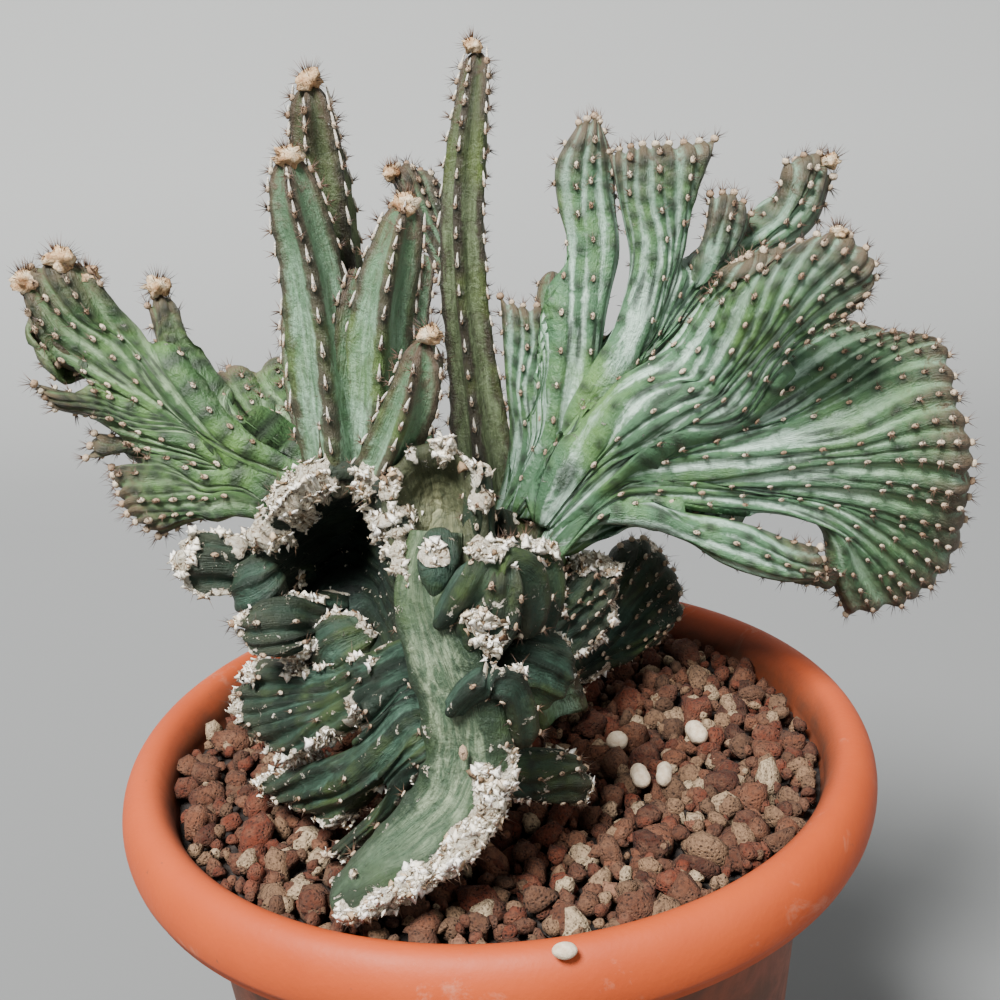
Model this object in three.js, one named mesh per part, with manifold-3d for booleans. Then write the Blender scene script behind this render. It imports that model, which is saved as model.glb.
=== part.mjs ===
// A crested cactus, Monvillea spegazzinii, in a round terracotta-coloured plastic pot.
// Millimetres, +Z up, origin at the middle of the pot's flat base, the camera side is -Y.
// The crest is one living body: ribbed fans, combs and spears that share their roots.
// Each fan is given by a few guide ribs, measured from root to tip, and a thickness.

import * as THREE from "three";
import { mergeVertices } from "three/addons/utils/BufferGeometryUtils.js";
import Module from "manifold-3d";

// The pot: a tapered wall under a rolled rim
const potHeight = 118;
const rimRadius = 70;
const rimHalfWidth = 4.7;
const rimHalfHeight = 7.4;
const seamRadius = 69;
const wallTopRadius = 58;
const baseRadius = 48;
const wallThickness = 2.2;
const floorThickness = 3;
const footChamfer = 1.5;
const rollSteps = 7;
const potSegments = 36;
const drainCount = 6;
const drainRing = 30;
const drainRadius = 4.5;

// The gravel fill, with a stony top
const gravelLevel = 112.8;
const stoneSpacing = 9.3;
const stoneRise = 2.1;
const stoneTopShare = 0.62;
const fillGap = 0.35;

// The plant stands in two plain holes in the gravel
const clearLevel = 116.2;
const pegGap = 0.35;
const pegs = [
  { at: [-6, -41], radius: 4, top: 124, foot: 98 },
  { at: [10, 8], radius: 8, top: 124, foot: 90 },
];

// Relief of the crest
const ridgeHeight = 0.28;
const sideRounding = 0.7;
const tipRounding = 3.4;
const rowStep = 14;
const areoleStep = 40;
const areoleRadius = 0.9;
const spineLength = 3;
const spineRoot = 1.6;

// Fans: each grows from a root line as one sheet of lobes, listed side by side.
// A lobe has its number of ribs at the crest and its guide ribs, root line to tip.
// Past the share "split" of its length it parts from the lobe before it.
const fans = [
  // The big fan on the right, from its lowest limb round to the saddle by the tall spear
  { root: [[10, 3, 150], [12, 3, 153], [12, 4, 156], [9, 4, 158], [6, 4, 158]],
    thick: [6, 4.4, 3], lobes: [
      { name: "limb", ribs: 3, split: 0, guides: [
        [[21, 2, 157], [30, 1, 156], [37, 0, 153], [43, -2, 149], [54, -2, 145], [61, -2, 145]],
        [[22, 2, 158], [30, 1, 158], [38, 0, 155], [45, -2, 153], [55, -2, 149], [61, -2, 147]],
        [[23, 3, 159], [31, 2, 159], [39, 1, 158], [48, -1, 156], [54, -2, 153], [60, -2, 151]]] },
      { name: "palm", ribs: 13, split: 0.55, guides: [
        [[24, 4, 160], [33, 4, 160], [48, 4, 157], [56, 4, 156], [62, 4, 152], [64, 5, 143], [68, 8, 133]],
        [[24, 4, 162], [34, 4, 162], [51, 4, 159], [62, 4, 155], [71, 6, 147], [80, 9, 135]],
        [[24, 4, 164], [35, 4, 164], [54, 4, 161], [66, 4, 158], [78, 5, 151], [87, 7, 143]],
        [[25, 4, 165], [36, 4, 166], [54, 3, 164], [67, 2, 162], [79, 1, 160], [87, 0, 158]],
        [[25, 4, 166], [37, 3, 168], [55, 2, 168], [67, 1, 168], [79, -2, 169], [86, -4, 168]],
        [[25, 4, 167], [36, 3, 170], [54, 2, 171], [66, 1, 173], [77, 0, 177], [84, 0, 177]],
        [[25, 4, 168], [35, 3, 172], [52, 3, 174], [64, 4, 178], [74, 5, 183], [83, 6, 185]],
        [[24, 4, 169], [34, 4, 173], [49, 3, 177], [58, 5, 181], [67, 7, 185], [75, 8, 187]]] },
      { name: "curl", ribs: 7, split: 1, guides: [
        [[24, 3, 169], [33, 2, 175], [46, 1, 178], [52, -3, 186], [59, -8, 193], [64, -10, 196]],
        [[23, 3, 170], [32, 2, 175], [44, 0, 180], [50, -5, 190], [57, -10, 198], [66, -12, 203]],
        [[23, 3, 170], [31, 1, 176], [42, 0, 181], [48, -6, 192], [53, -11, 201], [60, -12, 209]],
        [[23, 3, 171], [30, 1, 177], [40, 0, 183], [45, -5, 192], [48, -9, 200], [53, -10, 207]],
        [[22, 3, 171], [29, 2, 177], [38, 0, 185], [43, -3, 195], [45, -6, 200], [46, -8, 205]]] },
      { name: "elbow", ribs: 3, split: 0.55, guides: [
        [[22, 5, 171], [28, 6, 177], [36, 8, 187], [43, 11, 195], [53, 13, 200], [62, 14, 206], [65, 14, 214]],
        [[21, 5, 171], [27, 7, 178], [35, 9, 188], [41, 12, 197], [52, 14, 204], [59, 14, 211], [63, 14, 218]],
        [[20, 6, 171], [27, 7, 179], [34, 9, 190], [40, 11, 199], [47, 12, 205], [55, 13, 210], [57, 13, 217]]] },
      { name: "comb", ribs: 6, split: 0.72, guides: [
        [[20, 5, 171], [25, 6, 180], [32, 8, 192], [38, 9, 203], [40, 10, 212], [44, 11, 222]],
        [[19, 5, 172], [24, 6, 181], [31, 7, 193], [35, 8, 205], [36, 8, 215], [37, 9, 222]],
        [[18, 5, 172], [23, 5, 181], [29, 6, 193], [32, 7, 206], [31, 8, 215], [31, 9, 222]],
        [[17, 5, 172], [22, 6, 179], [25, 7, 188], [28, 8, 196], [29, 8, 203], [28, 9, 211], [26, 10, 221]]] }] },
  { root: [[8, 4, 157], [6, 5, 158], [2, 6, 157]], thick: [6, 4.4, 3], lobes: [
      { name: "horn", ribs: 3, split: 0, guides: [
        [[18, 7, 171], [22, 8, 179], [23, 9, 187], [25, 10, 197], [27, 11, 204], [27, 12, 211], [27, 12, 220], [25, 12, 226]],
        [[15, 7, 171], [19, 8, 181], [21, 9, 194], [23, 10, 205], [23, 12, 216], [24, 12, 227]],
        [[13, 7, 172], [15, 8, 182], [17, 9, 193], [19, 11, 204], [17, 12, 213], [17, 12, 220], [21, 12, 226]]] },
      { name: "saddle", ribs: 3, split: 0.72, guides: [
        [[11, 8, 171], [13, 9, 182], [14, 11, 190], [15, 12, 195]],
        [[9, 8, 172], [9, 10, 182], [10, 11, 190], [10, 12, 195]],
        [[6, 8, 172], [6, 10, 182], [6, 11, 191], [6, 12, 197]]] }] },
  { root: [[41, 10, 198], [38, 9, 197]], thick: [3.6, 3.2, 2.6], lobes: [
      { name: "combtwo", ribs: 3, split: 0, guides: [
        [[43, 10, 201], [48, 10, 205], [50, 10, 209]],
        [[41, 9, 201], [45, 9, 207], [47, 9, 213]],
        [[39, 8, 200], [42, 9, 207], [43, 9, 213]]] }] },
  // The fan on the left, from its lowest lobe round to the dark knobs by the spears
  { root: [[-30, -13, 166], [-29, -14, 169], [-27, -14, 172], [-25, -13, 174], [-22, -12, 174]],
    thick: [5, 4, 2.8], lobes: [
      { name: "lowerlobe", ribs: 4, split: 0, guides: [
        [[-38, -12, 170], [-44, -11, 168], [-48, -13, 168], [-53, -16, 167]],
        [[-38, -13, 172], [-45, -12, 171], [-51, -14, 171], [-57, -17, 171]],
        [[-38, -13, 174], [-46, -12, 174], [-53, -14, 175], [-59, -15, 175]],
        [[-38, -13, 175], [-46, -12, 176], [-54, -12, 178], [-60, -12, 178]]] },
      { name: "finger", ribs: 2, split: 1, guides: [
        [[-39, -12, 176], [-47, -11, 178], [-56, -10, 180], [-64, -12, 180]],
        [[-39, -12, 177], [-48, -11, 180], [-57, -10, 182], [-62, -12, 184]]] },
      { name: "curledtip", ribs: 3, split: 1, guides: [
        [[-40, -12, 178], [-48, -11, 182], [-58, -10, 185], [-67, -14, 189]],
        [[-40, -12, 179], [-49, -10, 184], [-60, -10, 189], [-69, -16, 194]]] },
      { name: "arm", ribs: 6, split: 1, guides: [
        [[-40, -11, 179], [-50, -9, 185], [-60, -8, 191], [-67, -9, 195]],
        [[-41, -11, 180], [-51, -9, 187], [-61, -8, 194], [-68, -8, 199], [-71, -8, 207]],
        [[-41, -11, 181], [-50, -9, 189], [-60, -8, 198], [-65, -8, 204], [-69, -8, 211]],
        [[-41, -11, 182], [-50, -9, 191], [-57, -7, 199], [-61, -8, 205], [-64, -8, 212]],
        [[-41, -11, 183], [-48, -9, 192], [-55, -6, 199], [-58, -6, 203], [-60, -6, 208]]] },
      { name: "thumb", ribs: 3, split: 0.72, guides: [
        [[-40, -10, 183], [-47, -8, 190], [-51, -6, 196], [-52, -6, 203]],
        [[-40, -10, 184], [-45, -8, 190], [-49, -6, 196], [-50, -5, 205]],
        [[-39, -10, 184], [-44, -8, 188], [-47, -5, 193], [-48, -4, 201]]] },
      { name: "knobs", ribs: 5, split: 0.62, guides: [
        [[-32, -9, 177], [-37, -6, 181], [-41, -3, 184], [-44, 0, 188]],
        [[-30, -9, 178], [-35, -6, 182], [-38, -3, 186], [-41, 0, 190]],
        [[-29, -9, 178], [-33, -6, 182], [-36, -3, 184], [-37, 0, 185]],
        [[-27, -9, 178], [-30, -6, 182], [-32, -3, 186], [-34, 2, 190]],
        [[-26, -9, 178], [-28, -6, 181], [-30, -3, 184], [-31, 2, 186]]] }] },
  // The twin spears in the middle part from one broad ribbed stem
  { root: [[-27, -20, 174], [-21, -22, 174], [-15, -20, 174]],
    thick: [5.4, 4.8, 3.2], lobes: [
      { name: "twinleft", ribs: 3, split: 0, guides: [
        [[-27, -22, 190], [-26, -22, 206], [-27, -22, 217], [-27, -22, 225]],
        [[-23, -25, 191], [-22, -25, 206], [-23, -25, 217], [-24, -24, 227]],
        [[-19, -24, 190], [-19, -23, 206], [-19, -23, 215], [-21, -22, 225]]] },
      { name: "twinright", ribs: 3, split: 0.66, guides: [
        [[-18, -24, 190], [-17, -23, 204], [-15, -23, 211], [-10, -22, 218]],
        [[-16, -25, 190], [-14, -26, 203], [-11, -26, 211], [-8, -24, 218]],
        [[-13, -22, 189], [-12, -23, 200], [-9, -23, 208], [-6, -22, 215]]] }] },
  { root: [[0, 15, 181], [2, 15, 184]], thick: [4, 3.6, 3], lobes: [
      { name: "backcomb", ribs: 4, split: 0, guides: [
        [[-4, 20, 198], [-9, 22, 210], [-12, 22, 219]],
        [[-2, 21, 201], [-6, 23, 211], [-9, 24, 220]],
        [[0, 21, 202], [-2, 24, 211], [-4, 26, 216]]] }] },
  // The old growth in front: the foot, the stem and its folds
  { root: [[-10, -42, 138], [-6, -44, 137], [-1, -42, 135]], thick: [5, 4.4, 3], lobes: [
      { name: "foot", ribs: 6, split: 0, guides: [
        [[-15, -46, 127], [-22, -49, 123], [-27, -52, 117]],
        [[-12, -48, 124], [-18, -50, 120], [-23, -52, 116]],
        [[-8, -47, 124], [-11, -49, 119], [-16, -51, 116]],
        [[-4, -45, 124], [-5, -46, 119], [-9, -47, 116]],
        [[1, -43, 125], [0, -44, 120], [-2, -45, 116]]] }] },
  { root: [[-10, -45, 118], [-7, -46, 118], [-2, -45, 118]], thick: [5, 5, 4], lobes: [
      { name: "stem", ribs: 4, split: 0, guides: [
        [[-13, -43, 135], [-11, -41, 146], [-10, -39, 157], [-11, -37, 166]],
        [[-7, -45, 136], [-6, -44, 148], [-6, -42, 158], [-7, -40, 166]],
        [[-1, -43, 132], [0, -42, 144], [-1, -40, 154], [-3, -38, 163]]] }] },
  { root: [[-7, -46, 138], [-1, -44, 137]], thick: [5, 4.5, 3.4], lobes: [
      { name: "fold", ribs: 3, split: 0, guides: [
        [[-10, -46, 149], [-9, -46, 156], [-5, -45, 164]],
        [[-5, -48, 150], [-4, -48, 157], [-1, -47, 165]],
        [[0, -46, 148], [1, -46, 155], [2, -46, 162]]] }] },
  { root: [[-11, -38, 160], [-8, -40, 161], [-4, -38, 161]], thick: [4.5, 4.2, 3], lobes: [
      { name: "hood", ribs: 5, split: 0, guides: [
        [[-12, -38, 170], [-13, -38, 176], [-13, -38, 180]],
        [[-10, -40, 172], [-10, -40, 180], [-10, -40, 184]],
        [[-7, -41, 172], [-7, -41, 181], [-7, -41, 186]],
        [[-5, -40, 171], [-4, -40, 180], [-3, -40, 185]],
        [[-2, -38, 168], [-1, -38, 175], [0, -38, 180]]] }] },
  { root: [[0, -34, 152], [2, -34, 151]], thick: [4, 3.4, 2.6], lobes: [
      { name: "earlobe", ribs: 4, split: 0, guides: [
        [[1, -35, 160], [3, -36, 169]],
        [[5, -36, 162], [6, -37, 170]],
        [[7, -35, 161], [10, -36, 167]],
        [[6, -34, 158], [10, -34, 160]]] }] },
  { root: [[-5, -42, 155], [0, -42, 153]], thick: [4.2, 3.6, 2.8], lobes: [
      { name: "arch", ribs: 4, split: 0, guides: [
        [[-4, -43, 162], [-2, -44, 167]],
        [[-1, -44, 162], [2, -45, 170]],
        [[2, -44, 162], [4, -45, 171]],
        [[4, -42, 159], [6, -43, 165]]] }] },
  { root: [[-1, -38, 150], [0, -38, 143]], thick: [4.5, 3.8, 2.8], lobes: [
      { name: "disc", ribs: 4, split: 0, guides: [
        [[3, -36, 151], [7, -35, 153]],
        [[5, -37, 150], [11, -36, 152]],
        [[6, -37, 147], [12, -36, 149]],
        [[5, -37, 145], [10, -36, 145]],
        [[3, -37, 143], [6, -36, 143]]] }] },
  { root: [[-6, -46, 137], [-2, -46, 137], [0, -42, 134]], thick: [4.5, 3.8, 2.8], lobes: [
      { name: "pocket", ribs: 4, split: 0, guides: [
        [[-6, -47, 142], [-6, -47, 147]],
        [[-3, -48, 145], [-2, -48, 151]],
        [[0, -47, 145], [1, -47, 153]],
        [[2, -44, 142], [4, -44, 146]],
        [[3, -41, 137], [6, -40, 140]]] }] },
  { root: [[-2, -40, 135], [-1, -40, 128]], thick: [4.5, 4, 3], lobes: [
      { name: "toe", ribs: 4, split: 0, guides: [
        [[3, -36, 134], [10, -32, 131]],
        [[5, -36, 131], [14, -31, 127]],
        [[5, -36, 128], [15, -31, 124]],
        [[5, -35, 125], [11, -30, 121]]] }] },
  // The hollow beside the stem: a roof that arches forward to a corky margin
  { root: [[-27, -4, 148], [-25, -2, 152], [-20, -2, 153], [-18, -4, 151]],
    thick: [4.5, 3.8, 2.8], lobes: [
      { name: "canopy", ribs: 6, split: 0, guides: [
        [[-32, -10, 156], [-35, -19, 162], [-35, -25, 167]],
        [[-30, -10, 163], [-31, -19, 170], [-30, -27, 174]],
        [[-26, -10, 168], [-26, -19, 174], [-25, -29, 178]],
        [[-22, -10, 169], [-22, -20, 176], [-21, -31, 180]],
        [[-19, -10, 168], [-17, -21, 176], [-17, -32, 180]],
        [[-15, -14, 165], [-14, -26, 173], [-13, -35, 178]]] }] },
  { root: [[-29, -9, 160], [-30, -9, 154]], thick: [4, 3.6, 2.8], lobes: [
      { name: "corkear", ribs: 4, split: 0, guides: [
        [[-36, -17, 164], [-41, -20, 168], [-46, -20, 168]],
        [[-37, -18, 161], [-43, -22, 165], [-49, -22, 165]],
        [[-37, -17, 157], [-42, -20, 159], [-47, -20, 160]]] }] },
  { root: [[-21, -3, 151], [-20, -4, 142]], thick: [4.5, 4, 2.8], lobes: [
      { name: "cheek", ribs: 4, split: 0, guides: [
        [[-27, -17, 155], [-32, -24, 157], [-36, -26, 158]],
        [[-28, -19, 152], [-33, -27, 156], [-39, -28, 156]],
        [[-28, -20, 149], [-33, -28, 152], [-39, -28, 153]],
        [[-26, -21, 146], [-31, -28, 149], [-36, -28, 150]]] }] },
  // The skirt of folds that falls away to the left of the stem
  { root: [[-9, -36, 156], [-10, -38, 149], [-9, -42, 143], [-8, -43, 138]],
    thick: [5, 3.8, 2.8], lobes: [
      { name: "shelf", ribs: 5, split: 0, guides: [
        [[-21, -28, 148], [-31, -22, 145], [-39, -18, 144]],
        [[-22, -29, 144], [-34, -22, 140], [-43, -17, 138]],
        [[-23, -30, 141], [-35, -23, 136], [-43, -18, 133]],
        [[-22, -32, 140], [-32, -26, 133], [-37, -22, 130]],
        [[-21, -34, 139], [-28, -29, 133], [-32, -26, 129]]] },
      { name: "apron", ribs: 4, split: 0.35, guides: [
        [[-20, -35, 136], [-31, -26, 128], [-42, -18, 121]],
        [[-20, -37, 133], [-29, -29, 125], [-37, -21, 119]],
        [[-17, -39, 132], [-22, -36, 125], [-27, -32, 119]]] },
      { name: "heel", ribs: 3, split: 0.4, guides: [
        [[-15, -41, 132], [-21, -39, 125], [-28, -37, 118]],
        [[-13, -43, 132], [-18, -41, 124], [-25, -39, 117]]] }] },
  // What joins the front growth to the fans behind it
  { root: [[9, 4, 157], [9, 6, 130]], thick: [4, 5, 5], lobes: [
      { name: "backwall", ribs: 3, split: 0, guides: [
        [[-10, 2, 158], [-22, -1, 160], [-32, -6, 160]],
        [[-10, 3, 143], [-21, 0, 146], [-31, -6, 147]],
        [[-9, 3, 133], [-20, 0, 135], [-30, -6, 139]]] }] },
  { root: [[-5, -38, 163], [-6, -38, 144]], thick: [5, 5, 5], lobes: [
      { name: "bridge", ribs: 3, split: 0, guides: [
        [[-2, -24, 159], [2, -8, 153], [6, 4, 150]],
        [[-2, -24, 149], [2, -8, 143], [7, 5, 137]],
        [[-2, -24, 137], [3, -8, 130], [8, 6, 124]]] }] },
  // Folds at the back on the right
  { root: [[6, 2, 136], [8, 2, 127]], thick: [4.5, 3.8, 3], lobes: [
      { name: "corkcluster", ribs: 4, split: 0, guides: [
        [[9, 3, 141], [13, 4, 145], [16, 5, 148]],
        [[12, 4, 138], [17, 6, 142], [23, 8, 147]],
        [[13, 4, 135], [18, 6, 137], [23, 8, 139]],
        [[13, 4, 130], [17, 6, 131], [21, 8, 132]]] }] },
  { root: [[7, 9, 124], [8, 9, 118]], thick: [5.5, 4.2, 3], lobes: [
      { name: "backlobes", ribs: 6, split: 0, guides: [
        [[15, 17, 129], [22, 23, 136], [27, 26, 142]],
        [[18, 18, 127], [26, 25, 134], [32, 29, 142]],
        [[20, 19, 124], [30, 27, 129], [38, 31, 134]],
        [[21, 18, 121], [31, 25, 123], [39, 30, 126]],
        [[20, 15, 119], [27, 21, 120], [33, 25, 121]]] }] },
];

// Spears: upright ribbed stems, with radii along a path from root to tip
const spears = [
  { name: "tall", ribs: 5, radii: [7, 6, 4.6, 4.3, 3.8, 2.6], path: [
    [3, 6, 153], [1, 12, 175], [0, 14, 197], [1, 15, 216], [3, 16, 229], [5, 18, 239]] },
  { name: "behind", ribs: 5, radii: [6, 5.2, 4.6, 4.2, 2.6], path: [
    [-21, -16, 174], [-20, -12, 197], [-21, -11, 213], [-21, -12, 226], [-21, -13, 237]] },
  { name: "stub", ribs: 5, radii: [5, 4.4, 4, 3], path: [
    [-16, -26, 176], [-11, -29, 186], [-7, -32, 195], [-6, -33, 201]] },
  { name: "side", ribs: 4, radii: [4, 3, 2], path: [
    [-25, -13, 174], [-28, -7, 190], [-29, -4, 202]] },
  { name: "limbend", ribs: 4, radii: [3, 2.6], path: [[56, -1, 147], [65, 4, 142]] },
  { name: "knobstalk", ribs: 4, radii: [2.2, 2.2, 2.6], path: [
    [15, 13, 190], [15, 17, 195], [16, 19, 200]] },
  { name: "backfinger", ribs: 4, radii: [4, 2.8, 2.5, 2.2], path: [
    [-6, 3, 155], [-11, 8, 180], [-9, 14, 196], [-7, 17, 205]] },
  { name: "hoodlobe", ribs: 4, radii: [3, 3.4, 3], path: [
    [-7, -42, 163], [-7, -44, 169], [-6, -44, 173]] },
  { name: "thinfinger", ribs: 4, radii: [3, 2.6, 1.8], path: [
    [0, -34, 155], [0, -34, 171], [1, -34, 182]] },
  { name: "button", ribs: 4, radii: [3, 2.2], path: [
    [3, -28, 158], [4, -28, 172]] },
  { name: "trunk", ribs: 5, radii: [9, 8.5, 7.5, 6, 4], path: [
    [10, 8, 117], [9, 8, 122], [8, 6, 135], [10, 3, 147], [9, 3, 156]] },
];

// Tufts of cream wool on the growing tips
const tufts = [
  { at: [4, 17, 240], radius: 2 },
  { at: [-21, -13, 238], radius: 2.6 },
  { at: [-25, -23, 226], radius: 2.6 },
  { at: [-7, -23, 218], radius: 2.6 },
  { at: [-5, -34, 202], radius: 2 },
  { at: [-64, -8, 211], radius: 2.8 },
  { at: [-70, -8, 208], radius: 2.4 },
  { at: [-50, -5, 205], radius: 2.2 },
  { at: [-12, 22, 219], radius: 2 },
  { at: [65, 14, 217], radius: 2.2 },
  { at: [60, -12, 209], radius: 2 },
];

// Cream feed granules, three on the gravel and one on the rim: place, half sizes and turn
const granules = [
  { name: "granule_oval", at: [37.5, -3, 115.6], half: [2.1, 3.3, 2], turn: 0.2 },
  { name: "granule_left", at: [25.3, -17, 115.6], half: [1.9, 3.2, 1.9], turn: 0.1 },
  { name: "granule_right", at: [29.6, -17, 115.6], half: [1.7, 3.2, 1.8], turn: -0.2 },
  { name: "granule_round", at: [22.5, -4, 115.5], half: [2.2, 2, 1.8], turn: 0.6 },
  { name: "granule_rim", at: [8.6, -67.8, 118.7], half: [1.9, 1.4, 1.3], turn: 0 },
];

const wasm = await Module();
wasm.setup();

// A repeatable draw of numbers from 0 to 1
function seeded(seed) {
  let state = seed;
  return () => {
    state = (state * 16807) % 2147483647;
    return state / 2147483647;
  };
}

// Joins and cuts need a closed solid with shared vertices
function solidOf(geometry) {
  const bare = geometry.index ? geometry.toNonIndexed() : geometry.clone();
  bare.deleteAttribute("normal");
  bare.deleteAttribute("uv");
  const merged = mergeVertices(bare, 1e-4);
  const corners = merged.index.array;
  const kept = [];
  for (let i = 0; i < corners.length; i += 3) {
    const [a, b, c] = [corners[i], corners[i + 1], corners[i + 2]];
    if (a !== b && b !== c && c !== a) kept.push(a, b, c);
  }
  return solidFrom(merged.attributes.position.array, kept);
}

function solidFrom(positions, corners) {
  return new wasm.Manifold(new wasm.Mesh({
    numProp: 3,
    vertProperties: new Float32Array(positions),
    triVerts: new Uint32Array(corners),
  }));
}

function geometryOf(solid) {
  const mesh = solid.getMesh();
  const geometry = new THREE.BufferGeometry();
  geometry.setAttribute("position", new THREE.BufferAttribute(new Float32Array(mesh.vertProperties), 3));
  geometry.setIndex(Array.from(mesh.triVerts));
  return geometry.toNonIndexed();
}

// Joined two by two, like a knock-out draw, which keeps each join small
function joined(solids) {
  if (solids.length === 1) return solids[0];
  const half = Math.ceil(solids.length / 2);
  return joined(solids.slice(0, half)).add(joined(solids.slice(half)));
}

// Of the skins that a join leaves, the largest is the outside; pockets sealed within are dropped
function outerSkin(solid) {
  const mesh = solid.getMesh();
  const group = Array.from({ length: mesh.vertProperties.length / 3 }, (_, i) => i);
  const leader = (i) => {
    while (group[i] !== i) {
      group[i] = group[group[i]];
      i = group[i];
    }
    return i;
  };
  const corners = Array.from(mesh.triVerts);
  for (let i = 0; i < corners.length; i += 3) {
    group[leader(corners[i])] = leader(corners[i + 1]);
    group[leader(corners[i + 1])] = leader(corners[i + 2]);
  }
  const sizes = new Map();
  for (const corner of corners) sizes.set(leader(corner), (sizes.get(leader(corner)) ?? 0) + 1);
  const [largest] = [...sizes].reduce((most, one) => (one[1] > most[1] ? one : most));
  const kept = corners.filter((corner) => leader(corner) === largest);
  const places = new Map();
  const positions = [];
  const renumbered = kept.map((corner) => {
    if (!places.has(corner)) {
      places.set(corner, places.size);
      positions.push(...mesh.vertProperties.slice(3 * corner, 3 * corner + 3));
    }
    return places.get(corner);
  });
  return solidFrom(positions, renumbered);
}

function vector(point) {
  return new THREE.Vector3(...point);
}

// A smooth curve through a guide's points, read at a share u of its length
function curveThrough(points) {
  return new THREE.CatmullRomCurve3(points.map(vector), false, "centripetal");
}

// Half-round fall from full at the given distance in to nothing at the edge
function rounded(distance, reach) {
  const inside = Math.min(1, distance / reach);
  return Math.sqrt(Math.max(0, 1 - (1 - inside) ** 2));
}

function blend(values, share) {
  const place = share * (values.length - 1);
  const step = Math.min(values.length - 2, Math.floor(place));
  return values[step] + (values[step + 1] - values[step]) * (place - step);
}

// Every other rib starts part of the way out, where its furrow has grown wide
function ridgeAt(rib, u) {
  if (rib % 2 === 0) return 1;
  const start = 0.3 + 0.07 * (rib % 3);
  return Math.min(1, Math.max(0, (u - start) / 0.2));
}

// A lobe is a sheet between its guide ribs, with a ridge at each whole step across it.
// partsAt gives the shares of its length past which its first and last side are free.
class Lobe {
  constructor(data, roots, partsAt) {
    this.name = data.name;
    this.ribs = data.ribs;
    this.partsAt = partsAt;
    this.guides = data.guides.map((points, k) => curveThrough([roots[k], ...points]));
    this.length = Math.max(...this.guides.map((guide) => guide.getLength()));
  }

  middle(u, v) {
    const along = this.guides.map((guide) => guide.getPointAt(Math.min(1, Math.max(0, u))));
    if (along.length === 2) return along[0].lerp(along[1], v);
    return new THREE.CatmullRomCurve3(along).getPoint(Math.min(1, Math.max(0, v)));
  }

  normal(u, v) {
    const e = 0.03;
    const du = this.middle(u + e, v).sub(this.middle(u - e, v));
    const dv = this.middle(u, v + e).sub(this.middle(u, v - e));
    return du.cross(dv).normalize();
  }

  half(u, v, thick) {
    const across = v * (this.ribs - 1);
    const rib = Math.round(across);
    const near = 1 - 2 * Math.abs(across - rib);
    const relief = 1 - ridgeHeight + ridgeHeight * near * ridgeAt(rib, u);
    const tip = rounded((1 - u) * this.length, tipRounding);
    const root = rounded(u * this.length, tipRounding);
    return blend(thick, u) * relief * tip * root * this.side(u, across);
  }

  // A side is thin only where it has parted from its neighbour
  side(u, across) {
    const first = u > this.partsAt[0] ? rounded(across, sideRounding) : 1;
    const last = u > this.partsAt[1] ? rounded(this.ribs - 1 - across, sideRounding) : 1;
    return first * last;
  }

  surface(u, v, face, thick) {
    return this.middle(u, v).addScaledVector(this.normal(u, v), face * this.half(u, v, thick));
  }

  // Spined areoles sit along the ridges on both faces, along the free sides and on the crest
  areoles(thick) {
    const found = [];
    const count = Math.max(1, Math.round(this.length / areoleStep));
    for (let rib = 0; rib < this.ribs; rib += 1) {
      const v = rib / (this.ribs - 1);
      const beside = (rib + 0.24) / (this.ribs - 1);
      const free = (rib === 0 && this.partsAt[0] < 1) || (rib === this.ribs - 1 && this.partsAt[1] < 1);
      for (let i = 1; i < count; i += 1) {
        const u = (i + 0.25 * (rib % 2)) / count;
        if (u < 0.3 || ridgeAt(rib, u) < 0.5) continue;
        if (free && this.side(u, rib) < 0.5) found.push(this.onSide(u, v));
        else if (rib < this.ribs - 1) found.push(this.onFace(u, beside, (i + rib) % 3 === 0 ? -1 : 1, thick));
      }
      if (rib % 2 === 0) found.push(this.onCrest(v));
    }
    return found;
  }

  onFace(u, v, face, thick) {
    const along = this.middle(u + 0.03, v).sub(this.middle(u - 0.03, v)).normalize();
    const out = this.normal(u, v).multiplyScalar(face).addScaledVector(along, 0.4).normalize();
    return { at: this.surface(u, v, face, thick), out };
  }

  onSide(u, v) {
    const at = this.middle(u, v);
    return { at, out: at.clone().sub(this.middle(u, v < 0.5 ? v + 0.1 : v - 0.1)).normalize() };
  }

  onCrest(v) {
    const at = this.middle(1, v);
    return { at, out: at.clone().sub(this.middle(0.9, v)).normalize() };
  }
}

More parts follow.
